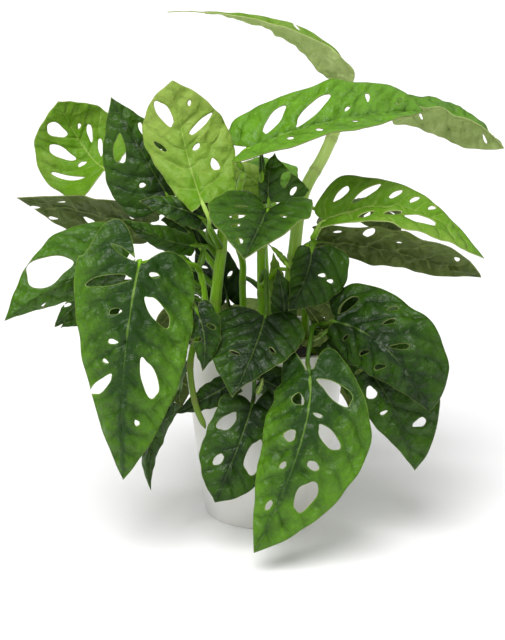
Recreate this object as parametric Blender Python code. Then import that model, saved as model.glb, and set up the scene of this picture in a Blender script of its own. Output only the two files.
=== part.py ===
"""Swiss cheese vine (Monstera adansonii) rooted in a plain tapered pot.

Each leaf blade is a thin solid with its holes cut through. Each rooted vine is one solid
with the leaf stalks that grow from it. The soil fills the pot, and the vines stand in it.
Lengths in the tables are millimetres; the meshes are in metres, +Z up, with the origin at
the centre of the pot's foot. The plant is seen from -Y.
"""
import math

import bmesh
import bpy
from mathutils import Matrix, Vector, geometry

MM = 0.001
GAP = 0.3                 # between pieces that touch

POT_HEIGHT = 165.0
POT_FOOT_RADIUS = 55.0
POT_RIM_RADIUS = 75.0
POT_WALL = 4.0
POT_FLOOR = 6.0
POT_EDGE = 1.5            # rounding of the rim and the foot
POT_SIDES = 48

SOIL_TOP = 160.0
SOIL_CROWN = 3.0          # how far the middle stands above the soil's edge
SOIL_SIDES = 32
ROOT_DEPTH = 23.0         # how deep a vine stands in the soil
ROOT_PLAY = 1.6           # round a vine in its hole

BLADE_THICK = 0.8
RIB_THICK = 2.2
GRID = 19.0               # spacing of a blade's inner points
RIB_STEP = 22.0
HOLE_POINTS = 6
VINE_SIDES = 8
STALK_SIDES = 5
STALK_RADIUS = (2.4, 1.6)     # at the vine and at the blade
STALK_CLEAR = 1.6         # from a blade's base to the middle of its stalk's slanting end
PATH_STEP = 16.0          # spacing of the rings along a vine or stalk

NOTCH = 0.07              # half the width of the rib's end, as a share of the half width
RIPPLES = 15.0            # turn of a blade's waving margin from base to tip, in radians
RIB_SHARE = 0.9           # of the midrib that is stouter than the blade
GRID_CLEAR = 0.42         # of the grid's spacing, kept free round the margin and the holes
CURVE_STEPS = 32          # for measuring along a midrib
PATH_STEPS = 8            # between two given points of a vine or stalk
BRANCH_HEIGHT = 5.0       # of the lowest stalk above the soil
BRANCH_RISE = 0.6         # how much rather a stalk leaves its vine low than near its way

# One half of a flat blade as shares of its length and of its half width, from the notch
# at the stalk round the lobe and the widest place to the drawn-out tip.
HALF_OUTLINE = (
    (0.0, NOTCH), (-0.05, 0.17), (-0.10, 0.32), (-0.12, 0.50), (-0.09, 0.71), (0.0, 0.89),
    (0.13, 0.985), (0.28, 1.0), (0.44, 0.92), (0.60, 0.74), (0.74, 0.51), (0.86, 0.27),
    (0.94, 0.10), (1.0, 0.0))
LOBE = 0.12
BELLY = 0.28

# A hole is (along, across, length, width, angle): shares of the blade's length and half
# width for its centre, millimetres for its size, degrees away from the midrib.
VEIN_ANGLE = 55.0
COMMON_HOLES = (
    (0.20, 0.42, 15, 6), (0.34, 0.40, 17, 7), (0.48, 0.40, 14, 6), (0.62, 0.36, 10, 5),
    (0.27, 0.78, 8, 4), (0.42, 0.72, 7, 4))
SMALL_HOLES = ((0.30, 0.45, 8, 3.5), (0.52, 0.42, 7, 3))
REAR_HOLES = ((0.20, 0.45, 17, 7), (0.40, 0.42, 18, 8), (0.60, 0.38, 11, 5))


class Leaf:
    """A blade: the run of its midrib, the way it faces, its half widths and its holes.

    Side a lies along face x heading, side b across the midrib from it. fold bends a side
    away from the face at the midrib, curl bends it further on the way to the margin.
    belly is where a side is widest. A full side above 1 keeps its width towards the tip, and
    a heel under 1 is narrower towards the notch.
    neck is where the stalk bends to the base: so far behind it and so far under the face.
    """

    def __init__(self, base, bow, tip, face, wide, tip_face=None, fold=(14, 14), tip_fold=None,
                 curl=(8, 8), lobe=(LOBE, LOBE), belly=(BELLY, BELLY), full=(1, 1), heel=(1, 1), wave=1.5,
                 neck=(12, 8), holes_a=COMMON_HOLES, holes_b=COMMON_HOLES):
        self.base, self.bow, self.tip = Vector(base), Vector(bow), Vector(tip)
        self.face = Vector(face).normalized()
        self.tip_face = Vector(tip_face or face).normalized()
        self.wide, self.curl, self.lobe, self.wave = wide, curl, lobe, wave
        self.fold, self.tip_fold = fold, tip_fold or fold
        self.belly, self.full, self.heel, self.bend = belly, full, heel, neck
        self.holes = (holes_a, holes_b)
        self.run = [0.0]
        for i in range(CURVE_STEPS):
            piece = self.curve((i + 1) / CURVE_STEPS) - self.curve(i / CURVE_STEPS)
            self.run.append(self.run[-1] + piece.length)
        self.length = self.run[-1]

    def curve(self, t):
        """The midrib as a quadratic curve that passes the bow point half way."""
        pull = self.bow * 2 - (self.base + self.tip) / 2
        return self.base * (1 - t) ** 2 + pull * (2 * t * (1 - t)) + self.tip * t ** 2

    def curve_share(self, along):
        """The curve's parameter at a distance along the midrib."""
        for i in range(CURVE_STEPS):
            if self.run[i + 1] >= along:
                share = (along - self.run[i]) / (self.run[i + 1] - self.run[i])
                return (i + share) / CURVE_STEPS
        return 1.0

    def frame(self, along):
        """Place, heading, face and side of the midrib at a distance from its base."""
        t = self.curve_share(min(max(along, 0.0), self.length))
        pull = self.bow * 2 - (self.base + self.tip) / 2
        heading = ((pull - self.base) * (1 - t) + (self.tip - pull) * t).normalized()
        face = self.face.lerp(self.tip_face, t)
        face = (face - heading * face.dot(heading)).normalized()
        place = self.curve(t) + heading * min(along, 0.0)
        return place, heading, face, face.cross(heading)

    def place(self, along, across):
        """Where a point of the flat blade lies, for across > 0 on side a."""
        k = 0 if across >= 0 else 1
        reach = abs(across)
        share = min(max(along / self.length, 0.0), 1.0)
        start = math.radians(self.fold[k] * (1 - share) + self.tip_fold[k] * share)
        bend = math.radians(self.curl[k]) / self.wide[k]
        end = start + bend * reach
        if abs(bend) > 1e-6:
            out = (math.sin(end) - math.sin(start)) / bend
            drop = (math.cos(end) - math.cos(start)) / bend
        else:
            out, drop = reach * math.cos(start), -reach * math.sin(start)
        ripple = math.sin(along / self.length * RIPPLES + 2 * k)
        drop += self.wave * (reach / self.wide[k]) ** 2 * ripple
        middle, _, face, side = self.frame(along)
        return middle + side * math.copysign(out, across) + face * drop

    def half_outline(self, k):
        """The flat margin of one side, from the notch to the tip."""
        warp = math.log(self.belly[k]) / math.log(BELLY)
        margin = []
        for s, w in HALF_OUTLINE:
            s = s ** warp if s > 0 else s * self.lobe[k] / LOBE
            if s > self.belly[k]:
                w = w ** (1 / self.full[k])
            elif s >= 0 or w > NOTCH:
                slim = 1 - (1 - self.heel[k]) * (1 - max(s, 0) / self.belly[k])
                w = NOTCH + (w - NOTCH) * slim
            margin.append((s * self.length, (1 - 2 * k) * w * self.wide[k]))
        return margin

    def outline(self):
        """The flat outline, round side a from the notch to the tip and back round side b."""
        return self.half_outline(0) + self.half_outline(1)[-2::-1]

    def hole_rings(self):
        """Each hole as a ring of flat points."""
        rings = []
        for k, holes in enumerate(self.holes):
            sign = 1 - 2 * k
            for hole in holes:
                s, w, long, wide = hole[:4]
                turn = math.radians(hole[4] if len(hole) > 4 else VEIN_ANGLE)
                ring = []
                for i in range(HOLE_POINTS):
                    step = 2 * math.pi * i / HOLE_POINTS
                    u, v = long / 2 * math.cos(step), wide / 2 * math.sin(step)
                    ring.append((s * self.length + u * math.cos(turn) - v * math.sin(turn),
                                 sign * (w * self.wide[k] + u * math.sin(turn) + v * math.cos(turn))))
                rings.append(ring)
        return rings

    def neck(self):
        """Where the stalk meets the base, and where it bends to reach it."""
        place, heading, face, _ = self.frame(0.0)
        return (place - heading * self.bend[0] - face * self.bend[1],
                place - heading * STALK_CLEAR - face * (RIB_THICK / 2))


LEAVES = {
    "leaf_top_arc": Leaf(
        (61, 40, 385), (1, 30, 437), (-84, 10, 452), (0, 0.26, 0.97), (27, 36), fold=(-34, -66),
        tip_fold=(18, -40), lobe=(0.04, 0.01), belly=(0.12, 0.12), full=(0.5, 0.42), wave=0,
        holes_a=(), holes_b=((0.15, 0.62, 17, 10, 45), (0.32, 0.62, 8, 4, 30))),
    "leaf_top_bow": Leaf(
        (-16, -30, 340), (59, -30, 365), (137, 0, 368), (0, -0.45, 0.89), (45, 42),
        fold=(-14, -26), lobe=(0.10, 0.06), belly=(0.5, 0.4), full=(2.6, 1.4),
        holes_a=((0.18, 0.43, 33, 12, 45), (0.39, 0.37, 44, 12, 35), (0.57, 0.21, 7, 3, 40),
                 (0.71, 0.44, 12, 4, 70), (0.88, 0.26, 12, 4, 40)),
        holes_b=((0.24, 0.46, 10, 5, 70), (0.38, 0.50, 12, 5, 80), (0.56, 0.42, 9, 4, 70))),
    "leaf_top_right": Leaf(
        (121, 60, 374), (174, 58, 365), (216, 46, 328), (0, 0.8, 0.6), (40, 24), fold=(0, 66),
        lobe=(0.06, 0.05), belly=(0.45, 0.4), full=(1.5, 1),
        holes_a=((0.22, 0.62, 9, 3, 60), (0.84, 0.24, 10, 3, 20)), holes_b=()),
    "leaf_left_bright": Leaf(
        (-141, 10, 316), (-163, 42, 330), (-183, 32, 372), (0, -0.85, 0.5), (46, 44),
        fold=(10, 10), lobe=(0.03, 0.06), belly=(0.45, 0.4), full=(1.1, 1.1), heel=(0.8, 0.3),
        holes_a=((0.73, 0.28, 19, 12, 35), (0.53, 0.42, 24, 9, 35), (0.34, 0.22, 9, 4, 70),
                 (0.32, 0.58, 32, 4, 40)),
        holes_b=((0.66, 0.16, 5, 3, 45), (0.55, 0.28, 16, 5, 25), (0.37, 0.28, 20, 4, 30))),
    "leaf_left_dark": Leaf(
        (-84, -20, 297), (-109, -14, 339), (-133, -4, 381), (0, -0.95, 0.3), (42, 32),
        fold=(10, 25), lobe=(0.06, 0.06),
        holes_a=((0.57, 0.37, 25, 11, 150), (0.20, 0.34, 6, 4, 75)),
        holes_b=((0.64, 0.34, 11, 4, 15), (0.36, 0.45, 10, 4, 50))),
    "leaf_bright_up": Leaf(
        (-53, -58, 299), (-67, -34, 338), (-78, -36, 399), (0, -0.95, 0.3), (35, 42),
        fold=(10, 10), lobe=(0.02, 0.04), belly=(0.55, 0.42), full=(1.2, 1.2), heel=(0.35, 0.75),
        holes_a=((0.75, 0.34, 24, 11, 25), (0.52, 0.60, 13, 4, 45)),
        holes_b=((0.80, 0.26, 5, 3, 15), (0.62, 0.40, 26, 6, 60), (0.46, 0.22, 8, 4, 60),
                 (0.30, 0.50, 11, 7, 170))),
    "leaf_small_dark": Leaf(
        (-54, -46, 284), (-80, -54, 296), (-107, -54, 300), (0, -0.8, 0.6), (13, 12),
        fold=(10, 10), lobe=(0.03, 0.03), full=(1.2, 1.2), holes_a=(), holes_b=()),
    "leaf_left_under": Leaf(
        (-112, 25, 263), (-165, 15, 277), (-219, 5, 291), (0, 0.75, 0.66), (32, 32), fold=(5, 5),
        holes_a=((0.10, 0.35, 13, 6, 60), (0.66, 0.28, 9, 3, 150)),
        holes_b=((0.84, 0.22, 9, 4, 10), (0.68, 0.50, 9, 4, 10), (0.40, 0.30, 13, 6, 150))),
    "leaf_left_hole": Leaf(
        (-119, -60, 246), (-167, -80, 236), (-219, -90, 205), (0, -0.8, 0.6), (30, 50),
        fold=(72, 5), lobe=(0.03, 0.12),
        holes_a=((0.70, 0.40, 6, 3, 20),),
        holes_b=((0.54, 0.37, 40, 28, 5),)),
    "leaf_left_curl": Leaf(
        (-135, -20, 206), (-160, -35, 197), (-179, -40, 184), (0, -0.8, 0.6), (16, 16),
        fold=(20, 20), holes_a=SMALL_HOLES, holes_b=SMALL_HOLES),
    "leaf_front_left": Leaf(
        (-104, -95, 257), (-117, -125, 173), (-120, -120, 74), (0.05, -1, 0.1), (54, 53),
        fold=(10, 10), tip_fold=(10, 40), lobe=(0.09, 0.18), belly=(0.30, 0.08), full=(1.3, 1.5),
        neck=(3, 13),
        holes_a=((0.04, 0.26, 9, 5, 95), (0.20, 0.41, 32, 13, 45), (0.51, 0.40, 37, 13, 20),
                 (0.72, 0.24, 6, 4, 25)),
        holes_b=((-0.03, 0.28, 24, 5, 115), (0.10, 0.42, 38, 9, 75), (0.23, 0.24, 11, 5, 75),
                 (0.36, 0.22, 9, 4, 90), (0.45, 0.32, 6, 3, 110), (0.56, 0.38, 28, 9, 45))),
    "leaf_dull_back": Leaf(
        (-66, 5, 258), (-79, 10, 268), (-93, 12, 269), (0, -0.9, 0.4), (15, 15),
        lobe=(0.02, 0.02), holes_a=(), holes_b=()),
    "leaf_rolled": Leaf(
        (-61, -35, 257), (-90, -45, 266), (-122, -50, 284), (0, -0.9, 0.4), (14, 14),
        fold=(52, 20), lobe=(0.03, 0.03), holes_a=(), holes_b=()),
    "leaf_centre_twist": Leaf(
        (2, -76, 298), (-8, -122, 288), (-18, -160, 275), (0, -0.5, 0.85), (42, 46),
        fold=(-25, -12), lobe=(0.15, 0.25),
        holes_a=((0.30, 0.45, 9, 3, 50),),
        holes_b=((0.14, 0.46, 11, 3, 55), (0.36, 0.42, 16, 6, 40), (0.53, 0.38, 10, 4, 35),
                 (0.76, 0.20, 9, 6, 0))),
    "leaf_centre_back": Leaf(
        (3, -45, 297), (3, -42, 318), (8, -36, 338), (0, -0.95, 0.3), (9, 36), belly=(0.3, 0.25),
        full=(1, 0.9), lobe=(0.03, 0.05), holes_a=(),
        holes_b=((0.50, 0.40, 18, 8, 10), (0.20, 0.62, 11, 5, 25))),
    "leaf_centre_heart": Leaf(
        (0, -72, 205), (-11, -104, 181), (-28, -122, 148), (0, -0.8, 0.6), (36, 48),
        fold=(0, 10), belly=(0.2, 0.3), full=(0.7, 1.2),
        holes_a=((0.40, 0.40, 7, 3, 60),),
        holes_b=((0.55, 0.30, 10, 3, 95),)),
    "leaf_centre_tip": Leaf(
        (17, -60, 197), (15, -60, 219), (10, -55, 242), (0, -0.95, 0.3), (12, 12),
        lobe=(0.03, 0.03), holes_a=(), holes_b=()),
    "leaf_centre_right": Leaf(
        (40, -45, 257), (34, -60, 234), (19, -70, 208), (0, -0.9, 0.4), (36, 16),
        lobe=(0.1, 0.05), neck=(4, 9),
        holes_a=((0.34, 0.36, 7, 3, 110), (0.37, 0.60, 6, 3, 105)), holes_b=()),
    "leaf_right_bright": Leaf(
        (50, -20, 275), (124, -35, 290), (188, -45, 248), (0, -0.24, 0.97), (33, 40),
        fold=(-58, -5), tip_fold=(14, -5), lobe=(0.02, 0.01), belly=(0.16, 0.45), full=(0.85, 1.2),
        heel=(0.5, 0.35),
        holes_a=((0.14, 0.52, 17, 6, 35), (0.26, 0.42, 28, 7, 35), (0.41, 0.38, 14, 5, 50),
                 (0.51, 0.33, 11, 4, 55), (0.61, 0.28, 9, 4, 55)),
        holes_b=((0.27, 0.42, 15, 9, 150), (0.42, 0.40, 17, 9, 150), (0.58, 0.38, 29, 14, 165))),
    "leaf_right_dark": Leaf(
        (47, 14, 250), (114, 6, 243), (192, -8, 222), (0, 0.7, 0.71), (22, 44), fold=(5, 5),
        lobe=(0.03, 0.02), belly=(0.5, 0.5), full=(1, 1.5), heel=(1, 0.75), holes_a=(),
        holes_b=((0.12, 0.50, 10, 5, 45), (0.30, 0.62, 20, 9, 75), (0.48, 0.44, 6, 4, 40),
                 (0.83, 0.40, 9, 5, 95))),
    "leaf_right_low": Leaf(
        (57, -75, 201), (101, -112, 186), (136, -120, 134), (0.3, -0.85, 0.4), (49, 34),
        fold=(5, 52), lobe=(0.15, 0.08), belly=(0.55, 0.3), full=(1.8, 1),
        holes_a=((0.03, 0.38, 22, 10, 75), (0.30, 0.71, 10, 4, 60), (0.35, 0.45, 12, 4, 65),
                 (0.52, 0.22, 17, 5, 55)),
        holes_b=((0.12, 0.36, 11, 3, 140), (0.33, 0.49, 14, 4, 140), (0.52, 0.50, 13, 5, 125))),
    "leaf_right_under": Leaf(
        (62, -62, 186), (104, -86, 136), (129, -88, 70), (0.2, -0.95, 0.2), (57, 29), fold=(8, 8),
        full=(1.6, 1),
        holes_a=((0.20, 0.40, 12, 4, 60), (0.73, 0.30, 14, 7, 85)),
        holes_b=((0.27, 0.26, 9, 3, 105), (0.42, 0.34, 12, 9, 10), (0.57, 0.30, 7, 3, 90))),
    "leaf_front_low": Leaf(
        (36, -110, 169), (28, -139, 112), (-10, -148, 20), (0, -1, 0.1), (57, 40), fold=(2, 28),
        curl=(4, 20), lobe=(0.10, 0.15), full=(1.25, 1.2), heel=(0.6, 0.85),
        holes_a=((0.11, 0.37, 33, 12, 60), (0.23, 0.15, 8, 3, 80), (0.32, 0.37, 25, 11, 55),
                 (0.47, 0.27, 11, 7, 75), (0.63, 0.33, 28, 16, 170)),
        holes_b=((0.16, 0.26, 13, 10, 130), (0.36, 0.28, 12, 10, 40), (0.52, 0.22, 8, 5, 30),
                 (0.74, 0.17, 10, 5, 10))),
    "leaf_low_centre": Leaf(
        (-11, -92, 133), (-22, -108, 103), (-43, -116, 52), (0, -1, 0.1), (34, 30), fold=(0, 8),
        belly=(0.45, 0.5), full=(1.3, 1.1), lobe=(0.22, 0.06),
        holes_a=((0.47, 0.47, 30, 14, 5),),
        holes_b=((0.24, 0.53, 21, 11, 30), (0.61, 0.38, 12, 7, 20))),
    "leaf_small_left": Leaf(
        (-58, -92, 215), (-51, -101, 192), (-53, -101, 164), (0, -1, 0.1), (16, 14),
        holes_a=((0.30, 0.45, 8, 3.5, 55),),
        holes_b=((0.47, 0.42, 8, 4, 75),)),
    "leaf_low_curl": Leaf(
        (-81, -60, 123), (-100, -70, 84), (-100, -75, 46), (0, -1, 0.1), (17, 17), fold=(52, 50),
        lobe=(0.01, 0.01), holes_a=(), holes_b=()),
    "leaf_low_back": Leaf(
        (-26, -82, 149), (-50, -83, 135), (-78, -86, 121), (0, -0.9, 0.4), (12, 12),
        lobe=(0.02, 0.02), holes_a=(), holes_b=()),
    "leaf_pale_back": Leaf(
        (1, 20, 293), (-18, 25, 310), (-36, 30, 316), (0, -0.9, 0.4), (14, 14), holes_a=(),
        holes_b=()),
    "leaf_dark_back": Leaf(
        (-34, 42, 188), (-44, 40, 220), (-60, 34, 252), (0, -1, 0.1), (27, 19),
        holes_a=SMALL_HOLES, holes_b=SMALL_HOLES),
    "leaf_thin_pale": Leaf(
        (12, -16, 201), (10, -17, 224), (7, -16, 247), (0, -1, 0.1), (8, 8), lobe=(0.02, 0.02),
        holes_a=(), holes_b=()),
    "leaf_rear_low_left": Leaf(
        (-58, 88, 172), (-80, 108, 122), (-82, 102, 58), (-0.3, 0.9, 0.3), (42, 42),
        holes_a=REAR_HOLES, holes_b=REAR_HOLES),
    "leaf_rear_low_right": Leaf(
        (58, 88, 174), (82, 108, 126), (84, 102, 60), (0.3, 0.9, 0.3), (42, 42),
        holes_a=REAR_HOLES, holes_b=REAR_HOLES),
    "leaf_rear_middle": Leaf(
        (0, 114, 168), (2, 142, 118), (4, 136, 48), (0, 0.9, 0.4), (44, 44), holes_a=REAR_HOLES,
        holes_b=REAR_HOLES),
    "leaf_rear_up_left": Leaf(
        (-58, 66, 290), (-92, 98, 285), (-112, 122, 240), (-0.3, 0.6, 0.7), (40, 40),
        holes_a=REAR_HOLES, holes_b=REAR_HOLES),
    "leaf_rear_up_right": Leaf(
        (66, 72, 272), (104, 102, 266), (128, 122, 222), (0.3, 0.6, 0.7), (40, 40),
        holes_a=REAR_HOLES, holes_b=REAR_HOLES),
    "leaf_rear_top": Leaf(
        (-4, 62, 300), (-2, 106, 310), (0, 144, 280), (0, 0.4, 0.9), (36, 36), holes_a=REAR_HOLES,
        holes_b=REAR_HOLES),
}


class Vine:
    """A rooted stem: its path, its radius at the foot and the top, and its leaf stalks."""

    def __init__(self, path, radius, stalks):
        self.path, self.radius, self.stalks = path, radius, stalks


# Each stalk lists the points it passes between the vine and its blade.
VINES = {
    "vine_left": Vine(
        [(-46, -9, 137), (-46, -9, 168), (-43, -8, 210), (-38, -5, 250), (-38, 0, 268)],
        (5.6, 4.6),
        {"leaf_bright_up": [(-48, -24, 268)],
         "leaf_left_dark": [(-64, 8, 268)],
         "leaf_left_bright": [(-75, 20, 264), (-114, 30, 294)],
         "leaf_small_dark": [(-46, -26, 268)],
         "leaf_dull_back": [(-50, -1, 248)],
         "leaf_left_under": [(-75, 4, 240)]}),
    "vine_front_left": Vine(
        [(-50, -28, 137), (-50, -28, 168), (-53, -28, 210), (-57, -31, 236)],
        (3.2, 2.8),
        {"leaf_front_left": [(-62, -50, 244), (-86, -68, 253)],
         "leaf_left_hole": [(-80, -42, 245)],
         "leaf_left_curl": [(-72, -26, 222), (-100, -22, 214)],
         "leaf_rolled": []}),
    "vine_centre": Vine(
        [(-2, -5, 137), (-2, -5, 168), (-3, -5, 218), (-3, -5, 246), (0, -1, 272)],
        (4.6, 3.6),
        {"leaf_centre_heart": [(0, -26, 232), (1, -46, 224)],
         "leaf_centre_tip": [(8, -30, 182)],
         "leaf_thin_pale": [(8, -4, 182)],
         "leaf_centre_twist": [(8, -28, 279), (13, -48, 287)],
         "leaf_pale_back": [(8, 12, 282)],
         "leaf_low_centre": [(-4, -40, 188), (-6, -74, 192), (-9, -86, 168)],
         "leaf_low_back": [(-10, -44, 186), (-15, -74, 188), (-17, -86, 172)]}),
    "vine_back": Vine(
        [(-19, 20, 137), (-19, 20, 168), (-20, 20, 207), (-20, 20, 229), (-27, 5, 262),
         (-23, -10, 300), (-18, -24, 320)],
        (3.2, 3.0),
        {"leaf_top_bow": [],
         "leaf_centre_back": [(-14, -30, 288)],
         "leaf_dark_back": [(-27, 34, 180)]}),
    "vine_right": Vine(
        [(22, 8, 137), (22, 8, 168), (22, 8, 200), (26, 5, 240), (33, 0, 293), (52, 15, 327),
         (67, 30, 358)],
        (6.0, 5.2),
        {"leaf_top_arc": [],
         "leaf_top_right": [(92, 46, 364)]}),
    "vine_mid_right": Vine(
        [(36, -12, 137), (36, -12, 168), (37, -12, 210), (38, -10, 245), (41, -12, 256)],
        (3.8, 3.4),
        {"leaf_right_bright": [],
         "leaf_right_dark": [(42, 2, 238)],
         "leaf_centre_right": [(42, -24, 256)]}),
    "vine_far_right": Vine(
        [(44, -34, 137), (44, -34, 166), (46, -42, 182), (47, -48, 190)],
        (4.6, 4.0),
        {"leaf_right_low": [],
         "leaf_right_under": [(56, -50, 192)],
         "leaf_front_low": [(41, -60, 191), (38, -82, 185)]}),
    "vine_trailing": Vine(
        [(-34, -42, 137), (-34, -42, 168), (-42, -54, 189), (-55, -69, 192), (-64, -80, 165),
         (-60, -88, 132), (-51, -93, 110)],
        (3.2, 2.6),
        {"leaf_small_left": [(-52, -60, 208), (-56, -70, 218)],
         "leaf_low_curl": [(-72, -70, 150)]}),
    "vine_rear": Vine(
        [(4, 44, 137), (4, 44, 168), (0, 50, 215), (-2, 52, 262)],
        (4.6, 4.0),
        {"leaf_rear_low_left": [(-18, 56, 205), (-44, 76, 196)],
         "leaf_rear_low_right": [(24, 56, 206), (46, 76, 198)],
         "leaf_rear_middle": [(0, 70, 205), (0, 96, 198)],
         "leaf_rear_up_left": [(-28, 56, 276)],
         "leaf_rear_up_right": [(30, 58, 274)],
         "leaf_rear_top": [(0, 52, 292)]}),
}

TONES = {
    "dark": (0.020, 0.085, 0.018), "mid": (0.045, 0.170, 0.025), "light": (0.150, 0.330, 0.040)}
LIGHT_LEAVES = ("leaf_top_arc", "leaf_left_bright", "leaf_bright_up", "leaf_right_bright",
                "leaf_top_right", "leaf_pale_back", "leaf_thin_pale")
MID_LEAVES = ("leaf_top_bow", "leaf_left_hole", "leaf_front_left", "leaf_front_low",
              "leaf_rolled", "leaf_dull_back", "leaf_right_low", "leaf_rear_top",
              "leaf_rear_up_left", "leaf_rear_up_right")
STEM_COLOUR = (0.170, 0.330, 0.045)
SOIL_COLOUR = (0.020, 0.014, 0.010)
POT_COLOUR = (0.80, 0.80, 0.78)


def clear_scene():
    for thing in list(bpy.data.objects):
        bpy.data.objects.remove(thing, do_unlink=True)


def material(name, colour, roughness):
    made = bpy.data.materials.new(name)
    made.use_nodes = True
    shader = made.node_tree.nodes["Principled BSDF"]
    shader.inputs["Base Color"].default_value = (*colour, 1.0)
    shader.inputs["Roughness"].default_value = roughness
    shader.inputs["Metallic"].default_value = 0.0
    return made


def mesh_object(name, shape, surface):
    """An object of its own from a bmesh in metres."""
    mesh = bpy.data.meshes.new(name)
    shape.to_mesh(mesh)
    shape.free()
    mesh.materials.append(surface)
    made = bpy.data.objects.new(name, mesh)
    bpy.context.scene.collection.objects.link(made)
    return made


def bake_modifiers(item):
    """Put the evaluated mesh in place of the object's own, and drop the modifiers."""
    bpy.context.view_layer.update()
    depsgraph = bpy.context.evaluated_depsgraph_get()
    mesh = bpy.data.meshes.new_from_object(item.evaluated_get(depsgraph))
    item.modifiers.clear()
    item.data = mesh


def inside(ring, x, y):
    """Whether a flat point lies in a closed ring."""
    hit = False
    for (x1, y1), (x2, y2) in zip(ring, ring[1:] + ring[:1]):
        if (y1 > y) != (y2 > y) and x < x1 + (y - y1) * (x2 - x1) / (y2 - y1):
            hit = not hit
    return hit


def flat_triangles(leaf):
    """The flat blade as points and triangles, with its midrib on edges and its holes open."""
    margin = leaf.outline()
    holes = leaf.hole_rings()
    points, edges = [], []
    for ring in [margin] + holes:
        first = len(points)
        points += ring
        edges += [(first + i, first + (i + 1) % len(ring)) for i in range(len(ring))]
    tip = len(HALF_OUTLINE) - 1
    count = max(3, round(leaf.length / RIB_STEP))
    first = len(points)
    points += [(leaf.length * i / count, 0.0) for i in range(count)]
    edges += [(first + i, first + i + 1) for i in range(count - 1)] + [(first + count - 1, tip)]
    fixed = list(points)
    for k in (0, 1):
        for row in range(1, int(leaf.wide[k] / GRID) + 1):
            for column in range(-1, int(leaf.length / GRID) + 1):
                spot = ((column + row % 2 / 2) * GRID, (1 - 2 * k) * row * GRID)
                clear = all(math.dist(spot, other) > GRID * GRID_CLEAR for other in fixed)
                if clear and inside(margin, *spot) and not any(inside(h, *spot) for h in holes):
                    points.append(spot)
    flat, _, faces, _, _, _ = geometry.delaunay_2d_cdt(
        [Vector(p) for p in points], edges, [], 0, 1e-5)
    kept = []
    for face in faces:
        x = sum(flat[i].x for i in face) / 3
        y = sum(flat[i].y for i in face) / 3
        if inside(margin, x, y) and not any(inside(h, x, y) for h in holes):
            kept.append(face)
    return flat, kept


def leaf_blade(name, leaf, surface):
    """A blade: its bent face, thickened to the back, with a stouter midrib."""
    flat, faces = flat_triangles(leaf)
    shape = bmesh.new()
    used = sorted({i for face in faces for i in face})
    corners = {i: shape.verts.new(leaf.place(*flat[i]) * MM) for i in used}
    for face in faces:
        shape.faces.new([corners[i] for i in face])
    rib = [n for n, i in enumerate(used)
           if abs(flat[i].y) < 0.01 and flat[i].x < RIB_SHARE * leaf.length]
    blade = mesh_object(name, shape, surface)
    blade.vertex_groups.new(name="rib").add(rib, 1.0, "REPLACE")
    thicken = blade.modifiers.new("thickness", "SOLIDIFY")
    thicken.thickness = RIB_THICK * MM
    thicken.offset = -1.0
    thicken.vertex_group = "rib"
    thicken.thickness_vertex_group = BLADE_THICK / RIB_THICK
    split = blade.modifiers.new("triangles", "TRIANGULATE")
    split.quad_method = "FIXED"
    return blade


def smooth_path(points, step):
    """Points at an even step along a smooth curve through the given ones."""
    points = [Vector(p) for p in points]
    ends = [points[0] * 2 - points[1]] + points + [points[-1] * 2 - points[-2]]
    fine = []
    for a, b, c, d in zip(ends, ends[1:], ends[2:], ends[3:]):
        for i in range(PATH_STEPS):
            t = i / PATH_STEPS
            fine.append((b * 2 + (c - a) * t + (a * 2 - b * 5 + c * 4 - d) * t ** 2
                         + (b * 3 - a - c * 3 + d) * t ** 3) / 2)
    fine.append(points[-1])
    run = [0.0]
    for a, b in zip(fine, fine[1:]):
        run.append(run[-1] + (b - a).length)
    count = max(2, round(run[-1] / step))
    path, i = [], 0
    for n in range(count + 1):
        goal = run[-1] * n / count
        while i < len(run) - 2 and run[i + 1] < goal:
            i += 1
        path.append(fine[i].lerp(fine[i + 1], (goal - run[i]) / (run[i + 1] - run[i])))
    return path


def vine_lines(vine):
    """The centre lines of a vine and of its stalks, each with its radius at both ends."""
    main = smooth_path(vine.path, PATH_STEP)
    lines = [(main, vine.radius)]
    fine = smooth_path(vine.path, 2.0)
    lowest = SOIL_TOP + SOIL_CROWN + BRANCH_HEIGHT
    for leaf, via in vine.stalks.items():
        bend, end = LEAVES[leaf].neck()
        ahead = Vector(via[0]) if via else bend
        start = min((p for p in fine if p.z > lowest),
                    key=lambda p: (p - ahead).length + BRANCH_RISE * p.z)
        lines.append((smooth_path([start, *via, bend, end], PATH_STEP), STALK_RADIUS))
    return lines


def tube(name, path, radius, sides, surface):
    """A closed tube along a path, narrowing from the first radius to the second."""
    shape = bmesh.new()
    rings = []
    heading = (path[1] - path[0]).normalized()
    across = heading.orthogonal().normalized() if abs(heading.z) < 0.99 else Vector((1, 0, 0))
    for i, spot in enumerate(path):
        before, after = path[max(i - 1, 0)], path[min(i + 1, len(path) - 1)]
        turned = (after - before).normalized()
        across = (across - turned * across.dot(turned)).normalized()
        size = radius[0] + (radius[1] - radius[0]) * i / (len(path) - 1)
        ring = []
        for n in range(sides):
            spin = Matrix.Rotation(2 * math.pi * n / sides, 3, turned)
            ring.append(shape.verts.new((spot + spin @ across * size) * MM))
        rings.append(ring)
    for low, high in zip(rings, rings[1:]):
        for n in range(sides):
            m = (n + 1) % sides
            shape.faces.new((low[n], low[m], high[m], high[n]))
    shape.faces.new(rings[0][::-1])
    shape.faces.new(rings[-1])
    return mesh_object(name, shape, surface)


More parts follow.
